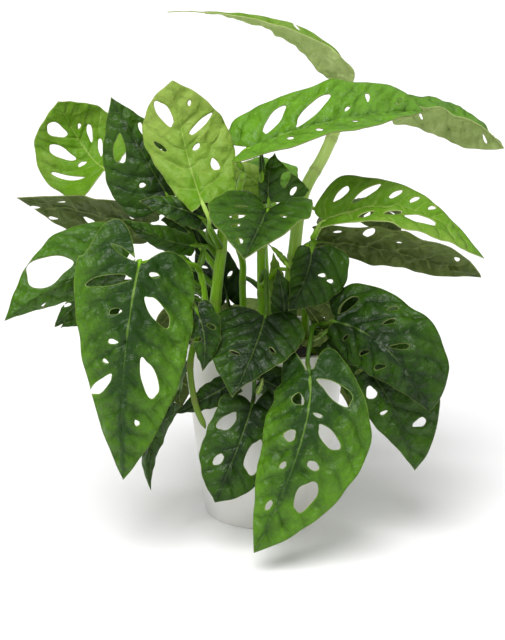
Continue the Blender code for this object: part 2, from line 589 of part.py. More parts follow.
def union(item, others):
    """Fuse the others into the item with one Boolean on their collection."""
    group = bpy.data.collections.new(item.name + "_stalks")
    for other in others:
        group.objects.link(other)
    fuse = item.modifiers.new("fuse", "BOOLEAN")
    fuse.operation = "UNION"
    fuse.operand_type = "COLLECTION"
    fuse.collection = group
    fuse.solver = "EXACT"
    bake_modifiers(item)
    for other in others:
        bpy.data.objects.remove(other, do_unlink=True)
    bpy.data.collections.remove(group)


def rooted_vine(name, vine, surface):
    """A vine with the stalks of its leaves, as one solid."""
    lines = vine_lines(vine)
    stem = tube(name, *lines[0], VINE_SIDES, surface)
    union(stem, [tube(name + "_stalk", *line, STALK_SIDES, surface) for line in lines[1:]])
    return stem


def turned(name, profile, sides, surface):
    """A closed solid turned about +Z from a profile of (radius, height) in millimetres."""
    shape = bmesh.new()
    line = [shape.verts.new((r * MM, 0, z * MM)) for r, z in profile]
    edges = [shape.edges.new(pair) for pair in zip(line, line[1:])]
    bmesh.ops.spin(shape, geom=line + edges, cent=(0, 0, 0), axis=(0, 0, 1),
                   angle=2 * math.pi, steps=sides, use_merge=True)
    bmesh.ops.remove_doubles(shape, verts=shape.verts, dist=1e-7)
    bmesh.ops.recalc_face_normals(shape, faces=shape.faces)
    return mesh_object(name, shape, surface)


def pot_radius(z):
    """The pot's outer radius at a height."""
    return POT_FOOT_RADIUS + (POT_RIM_RADIUS - POT_FOOT_RADIUS) * z / POT_HEIGHT


def pot(surface):
    """A tapered pot with a closed foot and a rounded rim."""
    top, edge = POT_HEIGHT, POT_EDGE
    profile = [(0, 0), (POT_FOOT_RADIUS - edge, 0), (pot_radius(edge), edge),
               (POT_RIM_RADIUS, top - edge), (POT_RIM_RADIUS - edge, top),
               (POT_RIM_RADIUS - POT_WALL + edge, top), (POT_RIM_RADIUS - POT_WALL, top - edge),
               (pot_radius(POT_FLOOR) - POT_WALL, POT_FLOOR), (0, POT_FLOOR)]
    return turned("pot", profile, POT_SIDES, surface)


def soil(surface):
    """The soil that fills the pot, with a plain hole for each vine."""
    low = POT_FLOOR + GAP
    play = POT_WALL + 2 * GAP
    profile = [(0, low), (pot_radius(low) - play, low), (pot_radius(SOIL_TOP) - play, SOIL_TOP),
               (0.6 * POT_RIM_RADIUS, SOIL_TOP + 0.6 * SOIL_CROWN), (0, SOIL_TOP + SOIL_CROWN)]
    plug = turned("soil", profile, SOIL_SIDES, surface)
    drills = []
    for vine in VINES.values():
        foot = Vector(vine.path[0]) - Vector((0, 0, 2 * GAP))
        drills.append(tube("drill", [foot, foot + Vector((0, 0, 2 * ROOT_DEPTH))],
                           (vine.radius[0] + ROOT_PLAY,) * 2, VINE_SIDES, surface))
    group = bpy.data.collections.new("soil_holes")
    for drill in drills:
        group.objects.link(drill)
    cut = plug.modifiers.new("holes", "BOOLEAN")
    cut.operation = "DIFFERENCE"
    cut.operand_type = "COLLECTION"
    cut.collection = group
    cut.solver = "EXACT"
    bake_modifiers(plug)
    for drill in drills:
        bpy.data.objects.remove(drill, do_unlink=True)
    bpy.data.collections.remove(group)
    return plug


def main():
    clear_scene()
    pot(material("glazed_white", POT_COLOUR, 0.35))
    soil(material("potting_soil", SOIL_COLOUR, 0.95))
    stem = material("green_stem", STEM_COLOUR, 0.5)
    for name, vine in VINES.items():
        rooted_vine(name, vine, stem)
    tones = {tone: material("leaf_" + tone, colour, 0.4) for tone, colour in TONES.items()}
    for name, leaf in LEAVES.items():
        tone = "light" if name in LIGHT_LEAVES else "mid" if name in MID_LEAVES else "dark"
        leaf_blade(name, leaf, tones[tone])


if __name__ == "__main__":
    main()
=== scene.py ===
"""Dresses the potted Swiss cheese vine: veined leaf blades, grooved stalks, soil and planter.

Laid out as a Blender add-on and run as a script. Lengths in the tables and the constants are
millimetres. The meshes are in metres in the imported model's frame, +Z up, with the origin at
the middle of the pot's foot.
"""
import math
import random

import bmesh
import bpy
import numpy as np
from mathutils import Matrix, Vector, geometry


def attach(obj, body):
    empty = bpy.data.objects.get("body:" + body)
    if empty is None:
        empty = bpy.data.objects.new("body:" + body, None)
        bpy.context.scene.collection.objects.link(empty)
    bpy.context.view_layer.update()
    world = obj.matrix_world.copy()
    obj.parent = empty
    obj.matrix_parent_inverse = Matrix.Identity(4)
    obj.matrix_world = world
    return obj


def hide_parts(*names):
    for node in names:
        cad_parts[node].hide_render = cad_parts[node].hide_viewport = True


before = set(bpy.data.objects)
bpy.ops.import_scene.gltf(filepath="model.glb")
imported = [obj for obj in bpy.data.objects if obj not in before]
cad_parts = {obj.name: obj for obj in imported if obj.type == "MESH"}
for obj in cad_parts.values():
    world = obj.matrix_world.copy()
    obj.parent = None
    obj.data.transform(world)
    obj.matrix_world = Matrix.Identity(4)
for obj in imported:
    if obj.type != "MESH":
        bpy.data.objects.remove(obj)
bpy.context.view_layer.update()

bl_info = {
    "name": "Potted Swiss cheese vine",
    "version": (1, 0, 0),
    "blender": (4, 5, 0),
    "location": "3D View > Sidebar > Vine",
    "description": "Grows the leaves, stems, soil and planter of a Swiss cheese vine",
    "category": "Object",
}

MM = 0.001
TINY = 1e-9               # keeps a division away from nothing
POT_HEIGHT = 165.0
POT_FOOT_RADIUS = 55.0
POT_RIM_RADIUS = 75.0
POT_WALL = 4.0
POT_WELL = 30.0           # how far the planter is hollowed below the soil's top
SOIL_TOP = 160.0
SOIL_CROWN = 3.0
SOIL_DEPTH = 158.0
SOIL_PLAY = 4.6           # pot wall and the gap inside it
SOIL_EDGE = 1.3           # more room around the crumbly top
SOIL_GRID = 72
SOIL_LUMPS = ((0.9, 0.35, 4.0), (0.5, 1.3, 9.0))   # height, how close together, seed
SOIL_SINK = 0.8
# What lies on the soil: its smallest and its largest size, and how deep it sits.
LITTER = {
    "chips": ((4, 2, 1.0), (11, 5, 2.4), 0.1),
    "twigs": ((10, 0.9, 0.9), (24, 1.7, 1.7), 0.2),
    "crumbs": ((1.2, 1.2, 1.0), (3.4, 3.0, 2.6), 0.4),
}
LITTER_INSET = 6.0
LITTER_TILT = 0.35

# One side of a blade from the notch to the tip: shares of its length and of its half width.
NOTCH = 0.07
HALF_OUTLINE = (
    (0.0, NOTCH), (-0.05, 0.17), (-0.10, 0.32), (-0.12, 0.50), (-0.09, 0.71), (0.0, 0.89),
    (0.13, 0.985), (0.28, 1.0), (0.44, 0.92), (0.60, 0.74), (0.74, 0.51), (0.86, 0.27),
    (0.94, 0.10), (1.0, 0.0))
LOBE = 0.12               # how far that outline reaches back past the base
BELLY = 0.28              # where it is widest
CURVE_STEPS = 32          # along a midrib
PATH_STEPS = 8            # between two given points of a smooth line
RIPPLES = 15.0            # the waves of a margin, as an angle over the blade's length

# A hole is (along, across, length, width, angle): shares of the blade's length and half
# width for its centre, millimetres for its size, degrees away from the midrib.
VEIN_ANGLE = 55.0
SMALL_HOLES = ((0.30, 0.45, 8, 3.5), (0.52, 0.42, 7, 3))
REAR_HOLES = ((0.20, 0.45, 17, 7), (0.40, 0.42, 18, 8), (0.60, 0.38, 11, 5))
HOLE_LEAST_POINTS, HOLE_POINTS = 12, 2.4
HOLE_BLUNT = 0.22         # how much wider an oval's blunt end is
# Unevenness of an outline: its size, how often it comes round, and its share of the seed.
HOLE_WAVES = ((0.07, 3, 1), (0.04, 5, 2))
MARGIN_WAVES = ((0.5, 31, 1), (0.35, 57, 3))

# The flat mesh of a blade: rows beside the midrib, the half width of the strip that they have
# to themselves, and in grains the steps of rings and of rows, and the room beside rings.
RIB_ROWS = (0.0, 1.1, -1.1, 2.4, -2.4)
RIB_STRIP = 3.4
RING_STEP, ROW_STEP, CLEARANCE = 0.8, 0.87, 0.45
EDGE_REACH = 12.0         # how far in from a margin the distance to it is kept
ON_RIM = 0.02             # a point nearer to an outline than this is on it
CHUNK = 2000              # points that are measured at once
PROBE = 0.6               # how far to the sides the slope of a blade is felt
MAP_UNIT = 100.0          # millimetres in one unit of a map

# Side veins: their spacing in shares of the blade's length and its limits, the gap in
# spacings under which two holes lie between the same veins, how the veins sweep forward at
# the base, more so towards the tip and towards the margin, and how they bend.
VEIN_PITCH, PITCH_LEAST, PITCH_MOST = 0.16, 11.0, 21.0
SAME_GAP = 0.6
VEIN_SWEEP = (0.35, 0.45, 0.25)
VEIN_BEND, BEND_ALONG, BEND_OUT = 0.13, 0.25, 0.35
FIRST_VEIN = 0.3          # where one gap lies on a side without holes
SPARE_VEINS = 20          # counted past both ends, so that no count is below 0

# Relief of a blade: the length from which on it is at full height; the bulges between the
# veins, with how round and how low they are, how much they vary, how closely, what they lose
# towards the tip, where beside the midrib they start, what they lose at the margin, and the
# room and the least share that they have beside an outline; the lumps, with their share of
# the relief, each one's part, closeness and seed, and the same room and least share; the
# frill of the margin; and the rolled rim.
GROWN_LENGTH = 130.0
PUFF_ROUND, PUFF_LOW = 0.65, 0.6
PUFF_MEAN, PUFF_SPREAD, PUFF_PATCH = 0.75, 0.6, 0.33
PUFF_FLAT, PUFF_START, PUFF_LOSS = 0.5, 0.16, 0.6
PUFF_ROOM, PUFF_LEAST = 4.0, 0.1
LUMP_SHARE = 0.65
LUMPS = ((1.0, 0.42, 0), (0.45, 0.85, 5))
LUMP_ROOM, LUMP_LEAST = 5.0, 0.15
FRILL_ALONG, FRILL_OUT = 0.30, 3
RIM_ROLL, RIM_REACH = 0.25, 0.8
SINK = 0.1                # how far the upper face lies under the sheet's own place
# The midrib's half width at the base, what it loses by the tip, its least share on a small
# blade, where it starts to run out and over what length, and what it loses of its height.
RIB_HALF, RIB_TAPER, RIB_LEAST = 1.9, 1.3, 0.7
RIB_END, RIB_FADE, RIB_SINK = 0.97, 0.2, 0.6
GROWTH_MIDDLE = 0.45      # where between midrib and margin a blade has its own tint

# A stalk: its radius at the vine and at the blade; how far behind and below the base it
# comes to the blade, and how far on and below it ends under the midrib; the place, the reach
# and the swelling of the knee behind the blade; the sheath at the vine; how thin it ends; and
# the groove along its upper side.
STALK_RADIUS = (2.4, 1.6)
FOOT_BACK, FOOT_DOWN = 1.6, 1.1
END_ON, END_DOWN = 5.0, 1.3
KNEE_PLACE, KNEE_REACH, KNEE_SWELL = 11.0, 6.0, 0.22
SHEATH_LENGTH, SHEATH_SWELL = 26.0, 0.45
END_THIN = 0.5
STALK_GROOVE = 0.28
BRANCH_HEIGHT = 5.0       # the least height above the soil at which a stalk leaves a vine
BRANCH_RISE = 0.6         # how much it would rather leave lower down
# How young a stalk looks at the vine and at the blade, by the finish of its blade. Below this height
# above the soil, stalks are darkened as painted shade under the leaves, down to the least share.
STALK_TONES = {
    "light": (0.40, 0.75), "mid": (0.25, 0.45), "dark": (0.15, 0.30), "dull": (0.15, 0.30)}
LIGHT_HEIGHT, LIGHT_LEAST = 90.0, 0.15

# A stem: the step of its rings; the gap between its nodes, how far they are shifted, their
# reach and their swelling; how far up from the soil it is corky; and how corky it is at a
# node, at its foot, at a stalk's knee and at the scar of a sheath, with the scar's place.
STEM_STEP = 2.0
NODE_GAP, NODE_BACK, NODE_SHIFT = 38.0, 8.0, 5.0
NODE_REACH, NODE_SWELL = 2.2, 0.08
CORK_HEIGHT = 22.0
NODE_CORK, FOOT_CORK, KNEE_CORK, SCAR_CORK = 0.55, 0.5, 0.35, 0.3
SCAR_PLACE, SCAR_REACH = 0.9, 0.1
FOOT_RINGS, TOP_RINGS, STALK_TOP_RINGS = 3, 4, 2   # rings in the domes at the ends
DOME_START = 0.35
STEEP = 0.9               # a stalk that starts steeper than this has its groove on any side

SEED_STEP, SPRIG_SEED, LITTER_SEED = 1.37, 80, 7
FLOOR_SIZE = 60           # metres
KEY_SPREAD, FILL_SPREAD = 38, 90
SENSOR_WIDTH = 36.0


def unit(rows):
    """Each row scaled to length 1."""
    return rows / np.linalg.norm(rows, axis=1)[:, None]


def run_along(points):
    """How far each point lies along its line."""
    return np.append(0.0, np.cumsum(np.linalg.norm(np.diff(points, axis=0), axis=1)))


def both(value):
    """A value for side a and one for side b, from such a pair or from one for both."""
    return value if isinstance(value, tuple) else (value, value)


class Blade:
    """A leaf blade: the run of its midrib, the way it faces, its half widths and its looks.

    look is the upper finish, its tint at the base and at the tip, the finish of the
    underside, how much the tint grows from the midrib to the margin, and how much more of it
    the underside has, if any. A tint of 0 is a finish's deep colour and 1 its bright one.
    Side a lies along face x heading, side b across the midrib from it. fold bends a side
    away from the face at the midrib, curl bends it further on the way to the margin.
    lobe is how far a side reaches back past the base, and belly is where it is widest. A
    full side above 1 keeps its width towards the tip, and a heel under 1 is narrower towards
    the notch. wave is the height of the waves along the margin, and neck how far behind and
    below the base the stalk bends. size is the share of its full relief that the blade has.
    """

    def __init__(self, base, bow, tip, face, wide, look, fold=14, tip_fold=None, curl=8,
                 lobe=LOBE, belly=BELLY, full=1, heel=1, wave=1.5, neck=(12, 8), holes_a=(),
                 holes_b=()):
        self.base, self.tip = np.array(base, float), np.array(tip, float)
        self.face = np.array(Vector(face).normalized())
        self.wide, self.fold, self.curl = both(wide), both(fold), both(curl)
        self.tip_fold = both(fold if tip_fold is None else tip_fold)
        self.lobe, self.belly, self.full, self.heel = both(lobe), both(belly), both(full), both(heel)
        self.wave, self.bend, self.holes = wave, neck, (holes_a, holes_b)
        self.look = look if len(look) > 5 else (*look, 0)
        self.pull = np.array(bow, float) * 2 - (self.base + self.tip) / 2
        self.share = np.linspace(0.0, 1.0, CURVE_STEPS + 1)
        self.run = run_along(self.curve(self.share))
        self.length = float(self.run[-1])
        self.size = min(1.0, self.length / GROWN_LENGTH)

    def curve(self, t):
        """The midrib's points at the given shares of its curve."""
        t = t[:, None]
        return self.base * (1 - t) ** 2 + self.pull * (2 * t * (1 - t)) + self.tip * t ** 2

    def frame(self, along):
        """Place, heading, face and side of the midrib at distances from its base."""
        t = np.interp(along, self.run, self.share)
        slope = t[:, None]
        heading = unit((self.pull - self.base) * (1 - slope) + (self.tip - self.pull) * slope)
        face = unit(self.face - heading * (heading @ self.face)[:, None])
        place = self.curve(t) + heading * np.minimum(along, 0.0)[:, None]
        return place, heading, face, np.cross(face, heading)

    def shares(self, along, across):
        """How far out to the margin and on to the tip flat points lie, from 0 to 1."""
        wide = np.where(across < 0, self.wide[1], self.wide[0])
        reach = np.clip(np.abs(across) / wide, 0.0, 1.0)
        return reach, np.clip(along / self.length, 0.0, 1.0)

    def place(self, along, across):
        """Where points of the flat blade lie, for across > 0 on side a."""
        side_b = across < 0
        reach = np.abs(across)
        share = np.clip(along / self.length, 0.0, 1.0)

        def pick(pair):
            return np.where(side_b, pair[1], pair[0]).astype(float)

        start = np.radians(pick(self.fold) * (1 - share) + pick(self.tip_fold) * share)
        wide = pick(self.wide)
        bend = np.radians(pick(self.curl)) / wide
        end = start + bend * reach
        out = (np.sin(end) - np.sin(start)) / bend
        drop = (np.cos(end) - np.cos(start)) / bend
        drop += self.wave * (reach / wide) ** 2 * np.sin(along / self.length * RIPPLES + 2 * side_b)
        middle, _, face, side = self.frame(along)
        return middle + side * np.where(side_b, -out, out)[:, None] + face * drop[:, None]

    def half_outline(self, k):
        """The flat margin of one side, from the notch to the tip."""
        warp = math.log(self.belly[k]) / math.log(BELLY)
        margin = []
        for s, w in HALF_OUTLINE:
            s = s ** warp if s > 0 else s * self.lobe[k] / LOBE
            if s > self.belly[k]:
                w = w ** (1 / self.full[k])
            elif s >= 0 or w > NOTCH:
                slim = 1 - (1 - self.heel[k]) * (1 - max(s, 0) / self.belly[k])
                w = NOTCH + (w - NOTCH) * slim
            margin.append((s * self.length, (1 - 2 * k) * w * self.wide[k]))
        return margin

    def neck(self):
        """Where the stalk bends to the base, meets it, and ends under the midrib."""
        place, heading, face, _ = (Vector(v[0]) for v in self.frame(np.zeros(1)))
        return (place - heading * self.bend[0] - face * self.bend[1],
                place - heading * FOOT_BACK - face * FOOT_DOWN,
                place + heading * END_ON - face * END_DOWN)


LEAVES = {
    # Its underside's extra tint is painted light shining through the blade.
    "leaf_top_arc": Blade(
        (61, 40, 385), (1, 30, 437), (-84, 10, 452), (0, 0.26, 0.97), (27, 36),
        ("light", 0.15, 0.3, "pale", 0.1, 0.55), fold=(-34, -66), tip_fold=(18, -40),
        lobe=(0.04, 0.01), belly=0.12, full=(0.5, 0.42), wave=0,
        holes_b=((0.15, 0.62, 17, 10, 45), (0.32, 0.62, 8, 4, 30))),
    "leaf_top_bow": Blade(
        (-16, -30, 340), (59, -30, 365), (137, 0, 368), (0, -0.45, 0.89), (45, 42),
        ("mid", 0.72, 0.62, "dull", 0.05), fold=(-14, -26), lobe=(0.10, 0.06), belly=(0.5, 0.4),
        full=(2.6, 1.4),
        holes_a=((0.18, 0.43, 33, 12, 45), (0.39, 0.37, 44, 12, 35), (0.57, 0.21, 7, 3, 40),
                 (0.71, 0.44, 12, 4, 70), (0.88, 0.26, 12, 4, 40)),
        holes_b=((0.24, 0.46, 10, 5, 70), (0.38, 0.50, 12, 5, 80), (0.56, 0.42, 9, 4, 70))),
    "leaf_top_right": Blade(
        (121, 60, 374), (174, 58, 365), (216, 46, 328), (0, 0.8, 0.6), (40, 24),
        ("mid", 0.5, 0.5, "pale", 0.1, 0.1), fold=(0, 66), lobe=(0.06, 0.05), belly=(0.45, 0.4),
        full=(1.5, 1),
        holes_a=((0.22, 0.62, 9, 3, 60), (0.84, 0.24, 10, 3, 20))),
    "leaf_left_bright": Blade(
        (-141, 10, 316), (-163, 42, 330), (-183, 32, 372), (0, -0.85, 0.5), (46, 44),
        ("light", 0, 0.15, "pale", 0.2), fold=10, lobe=(0.03, 0.06), belly=(0.45, 0.4), full=1.1,
        heel=(0.8, 0.3),
        holes_a=((0.73, 0.28, 19, 12, 35), (0.53, 0.42, 24, 9, 35), (0.34, 0.22, 9, 4, 70),
                 (0.32, 0.58, 32, 4, 40)),
        holes_b=((0.66, 0.16, 5, 3, 45), (0.55, 0.28, 16, 5, 25), (0.37, 0.28, 20, 4, 30))),
    "leaf_left_dark": Blade(
        (-84, -20, 297), (-109, -14, 339), (-133, -4, 381), (0, -0.95, 0.3), (42, 32),
        ("dark", 0.25, 0.5, "dull", 0.2), fold=(10, 25), lobe=0.06,
        holes_a=((0.57, 0.37, 25, 11, 150), (0.20, 0.34, 6, 4, 75)),
        holes_b=((0.64, 0.34, 11, 4, 15), (0.36, 0.45, 10, 4, 50))),
    "leaf_bright_up": Blade(
        (-53, -58, 299), (-67, -34, 338), (-78, -36, 399), (0, -0.95, 0.3), (35, 42),
        ("light", 0.1, 0.75, "pale", 0.1), fold=10, lobe=(0.02, 0.04), belly=(0.55, 0.42),
        full=1.2, heel=(0.35, 0.75),
        holes_a=((0.75, 0.34, 24, 11, 25), (0.52, 0.60, 13, 4, 45)),
        holes_b=((0.80, 0.26, 5, 3, 15), (0.62, 0.40, 26, 6, 60), (0.46, 0.22, 8, 4, 60),
                 (0.30, 0.50, 11, 7, 170))),
    "leaf_small_dark": Blade(
        (-54, -46, 284), (-80, -54, 296), (-107, -54, 300), (0, -0.8, 0.6), (13, 12),
        ("dark", 0.2, 0.3, "dull", 0.2), fold=10, lobe=0.03, full=1.2),
    "leaf_left_under": Blade(
        (-112, 25, 263), (-165, 15, 277), (-219, 5, 291), (0, 0.75, 0.66), 32,
        ("dark", 0.3, 0.4, "dull", 0.2), fold=5,
        holes_a=((0.10, 0.35, 13, 6, 60), (0.66, 0.28, 9, 3, 150)),
        holes_b=((0.84, 0.22, 9, 4, 10), (0.68, 0.50, 9, 4, 10), (0.40, 0.30, 13, 6, 150))),
    "leaf_left_hole": Blade(
        (-119, -60, 246), (-167, -80, 236), (-219, -90, 205), (0, -0.8, 0.6), (30, 50),
        ("dark", 0.5, 0.9, "dull", 0.3), fold=(72, 5), lobe=(0.03, 0.12),
        holes_a=((0.70, 0.40, 6, 3, 20),), holes_b=((0.54, 0.37, 40, 28, 5),)),
    "leaf_left_curl": Blade(
        (-135, -20, 206), (-160, -35, 197), (-179, -40, 184), (0, -0.8, 0.6), 16,
        ("dark", 0.3, 0.5, "pale", 0.2), fold=20,
        holes_a=SMALL_HOLES, holes_b=SMALL_HOLES),
    "leaf_front_left": Blade(
        (-104, -95, 257), (-117, -125, 173), (-120, -120, 74), (0.05, -1, 0.1), (54, 53),
        ("mid", 0.05, 0.5, "pale", 0.55), fold=10, tip_fold=(10, 40), lobe=(0.09, 0.18),
        belly=(0.30, 0.08), full=(1.3, 1.5), neck=(3, 13),
        holes_a=((0.04, 0.26, 9, 5, 95), (0.20, 0.41, 32, 13, 45), (0.51, 0.40, 37, 13, 20),
                 (0.72, 0.24, 6, 4, 25)),
        holes_b=((-0.03, 0.28, 24, 5, 115), (0.10, 0.42, 38, 9, 75), (0.23, 0.24, 11, 5, 75),
                 (0.36, 0.22, 9, 4, 90), (0.45, 0.32, 6, 3, 110), (0.56, 0.38, 28, 9, 45))),
    "leaf_dull_back": Blade(
        (-66, 5, 258), (-79, 10, 268), (-93, 12, 269), (0, -0.9, 0.4), 15,
        ("dark", 0.5, 0.4, "dull", 0.2), lobe=0.02),
    "leaf_rolled": Blade(
        (-61, -35, 257), (-90, -45, 266), (-122, -50, 284), (0, -0.9, 0.4), 14,
        ("dark", 0.6, 0.5, "pale", 0.2), fold=(52, 20), lobe=0.03),
    "leaf_centre_twist": Blade(
        (2, -76, 298), (-8, -122, 288), (-18, -160, 275), (0, -0.5, 0.85), (42, 46),
        ("dark", 0.4, 0.55, "dull", 0.5), fold=(-25, -12), lobe=(0.15, 0.25),
        holes_a=((0.30, 0.45, 9, 3, 50),),
        holes_b=((0.14, 0.46, 11, 3, 55), (0.36, 0.42, 16, 6, 40), (0.53, 0.38, 10, 4, 35),
                 (0.76, 0.20, 9, 6, 0))),
    "leaf_centre_back": Blade(
        (3, -45, 297), (3, -42, 318), (8, -36, 338), (0, -0.95, 0.3), (9, 36),
        ("dark", 0.35, 0.75, "pale", 0.3), belly=(0.3, 0.25), full=(1, 0.9), lobe=(0.03, 0.05),
        holes_b=((0.50, 0.40, 18, 8, 10), (0.20, 0.62, 11, 5, 25))),
    "leaf_centre_heart": Blade(
        (0, -72, 205), (-11, -104, 181), (-28, -122, 148), (0, -0.8, 0.6), (36, 48),
        ("dark", 0.1, 0.3, "pale", 0.5), fold=(0, 10), belly=(0.2, 0.3), full=(0.7, 1.2),
        holes_a=((0.40, 0.40, 7, 3, 60),), holes_b=((0.55, 0.30, 10, 3, 95),)),
    "leaf_centre_tip": Blade(
        (17, -60, 197), (15, -60, 219), (10, -55, 242), (0, -0.95, 0.3), 12,
        ("dark", 0.3, 0.3, "dull", 0.2), lobe=0.03),
    "leaf_centre_right": Blade(
        (40, -45, 257), (34, -60, 234), (19, -70, 208), (0, -0.9, 0.4), (36, 16),
        ("dark", 0.25, 0.35, "dull", 0.3), lobe=(0.1, 0.05), neck=(4, 9),
        holes_a=((0.34, 0.36, 7, 3, 110), (0.37, 0.60, 6, 3, 105))),
    "leaf_right_bright": Blade(
        (50, -20, 275), (124, -35, 290), (188, -45, 248), (0, -0.24, 0.97), (33, 40),
        ("light", 0, 0.15, "pale", 0.2), fold=(-58, -5), tip_fold=(14, -5), lobe=(0.02, 0.01),
        belly=(0.16, 0.45), full=(0.85, 1.2), heel=(0.5, 0.35),
        holes_a=((0.14, 0.52, 17, 6, 35), (0.26, 0.42, 28, 7, 35), (0.41, 0.38, 14, 5, 50),
                 (0.51, 0.33, 11, 4, 55), (0.61, 0.28, 9, 4, 55)),
        holes_b=((0.27, 0.42, 15, 9, 150), (0.42, 0.40, 17, 9, 150), (0.58, 0.38, 29, 14, 165))),
    "leaf_right_dark": Blade(
        (47, 14, 250), (114, 6, 243), (192, -8, 222), (0, 0.7, 0.71), (22, 44),
        ("dark", 0.4, 0.5, "dull", 0.3), fold=5, lobe=(0.03, 0.02), belly=0.5, full=(1, 1.5),
        heel=(1, 0.75),
        holes_b=((0.12, 0.50, 10, 5, 45), (0.30, 0.62, 20, 9, 75), (0.48, 0.44, 6, 4, 40),
                 (0.83, 0.40, 9, 5, 95))),
    "leaf_right_low": Blade(
        (57, -75, 201), (101, -112, 186), (136, -120, 134), (0.3, -0.85, 0.4), (49, 34),
        ("dark", 0.15, 0.3, "dull", 0.35), fold=(5, 52), lobe=(0.15, 0.08), belly=(0.55, 0.3),
        full=(1.8, 1),
        holes_a=((0.03, 0.38, 22, 10, 75), (0.30, 0.71, 10, 4, 60), (0.35, 0.45, 12, 4, 65),
                 (0.52, 0.22, 17, 5, 55)),
        holes_b=((0.12, 0.36, 11, 3, 140), (0.33, 0.49, 14, 4, 140), (0.52, 0.50, 13, 5, 125))),
    "leaf_right_under": Blade(
        (62, -62, 186), (104, -86, 136), (129, -88, 70), (0.2, -0.95, 0.2), (57, 29),
        ("dark", 0.25, 0.5, "dull", 0.2), fold=8, full=(1.6, 1),
        holes_a=((0.20, 0.40, 12, 4, 60), (0.73, 0.30, 14, 7, 85)),
        holes_b=((0.27, 0.26, 9, 3, 105), (0.42, 0.34, 12, 9, 10), (0.57, 0.30, 7, 3, 90))),
    "leaf_front_low": Blade(
        (36, -110, 169), (28, -139, 112), (-10, -148, 20), (0, -1, 0.1), (57, 40),
        ("mid", 0.02, 0.6, "pale", 0.4), fold=(2, 28), curl=(4, 20), lobe=(0.10, 0.15),
        full=(1.25, 1.2), heel=(0.6, 0.85),
        holes_a=((0.11, 0.37, 33, 12, 60), (0.23, 0.15, 8, 3, 80), (0.32, 0.37, 25, 11, 55),
                 (0.47, 0.27, 11, 7, 75), (0.63, 0.33, 28, 16, 170)),
        holes_b=((0.16, 0.26, 13, 10, 130), (0.36, 0.28, 12, 10, 40), (0.52, 0.22, 8, 5, 30),
                 (0.74, 0.17, 10, 5, 10))),
    "leaf_low_centre": Blade(
        (-11, -92, 133), (-22, -108, 103), (-43, -116, 52), (0, -1, 0.1), (34, 30),
        ("dark", 0.15, 0.35, "dull", 0.3), fold=(0, 8), belly=(0.45, 0.5), full=(1.3, 1.1),
        lobe=(0.22, 0.06),
        holes_a=((0.47, 0.47, 30, 14, 5),),
        holes_b=((0.24, 0.53, 21, 11, 30), (0.61, 0.38, 12, 7, 20))),
    "leaf_small_left": Blade(
        (-58, -92, 215), (-51, -101, 192), (-53, -101, 164), (0, -1, 0.1), (16, 14),
        ("dark", 0.15, 0.25, "dull", 0.2),
        holes_a=((0.30, 0.45, 8, 3.5, 55),), holes_b=((0.47, 0.42, 8, 4, 75),)),
    "leaf_low_curl": Blade(
        (-81, -60, 123), (-100, -70, 84), (-100, -75, 46), (0, -1, 0.1), 17,
        ("dark", 0.4, 0.5, "dull", 0.2), fold=(52, 50), lobe=0.01),
    "leaf_low_back": Blade(
        (-26, -82, 149), (-50, -83, 135), (-78, -86, 121), (0, -0.9, 0.4), 12,
        ("dark", 0.1, 0.2, "dull", 0.2), lobe=0.02),
    "leaf_pale_back": Blade(
        (1, 20, 293), (-18, 25, 310), (-36, 30, 316), (0, -0.9, 0.4), 14,
        ("light", 0.3, 0.5, "pale", 0.2)),
    # A leaf in shadow behind the stems; its deepest tint is painted shade.
    "leaf_dark_back": Blade(
        (-34, 42, 188), (-44, 40, 220), (-60, 34, 252), (0, -1, 0.1), (27, 19),
        ("dark", 0, 0.1, "dull", 0.1),
        holes_a=SMALL_HOLES, holes_b=SMALL_HOLES),
    "leaf_thin_pale": Blade(
        (12, -16, 201), (10, -17, 224), (7, -16, 247), (0, -1, 0.1), 8,
        ("light", 0.2, 0.3, "pale", 0.1), lobe=0.02),
    "leaf_rear_low_left": Blade(
        (-58, 88, 172), (-80, 108, 122), (-82, 102, 58), (-0.3, 0.9, 0.3), 42,
        ("mid", 0.1, 0.5, "dull", 0.4),
        holes_a=REAR_HOLES, holes_b=REAR_HOLES),
    "leaf_rear_low_right": Blade(
        (58, 88, 174), (82, 108, 126), (84, 102, 60), (0.3, 0.9, 0.3), 42,
        ("dark", 0.4, 0.8, "dull", 0.3),
        holes_a=REAR_HOLES, holes_b=REAR_HOLES),
    "leaf_rear_middle": Blade(
        (0, 114, 168), (2, 142, 118), (4, 136, 48), (0, 0.9, 0.4), 44,
        ("mid", 0.2, 0.6, "pale", 0.4),
        holes_a=REAR_HOLES, holes_b=REAR_HOLES),
    "leaf_rear_up_left": Blade(
        (-58, 66, 290), (-92, 98, 285), (-112, 122, 240), (-0.3, 0.6, 0.7), 40,
        ("mid", 0.3, 0.6, "dull", 0.3),
        holes_a=REAR_HOLES, holes_b=REAR_HOLES),
    "leaf_rear_up_right": Blade(
        (66, 72, 272), (104, 102, 266), (128, 122, 222), (0.3, 0.6, 0.7), 40,
        ("mid", 0.3, 0.5, "dull", 0.3),
        holes_a=REAR_HOLES, holes_b=REAR_HOLES),
    "leaf_rear_top": Blade(
        (-4, 62, 300), (-2, 106, 310), (0, 144, 280), (0, 0.4, 0.9), 36,
        ("mid", 0.5, 0.8, "pale", 0.2),
        holes_a=REAR_HOLES, holes_b=REAR_HOLES),
}
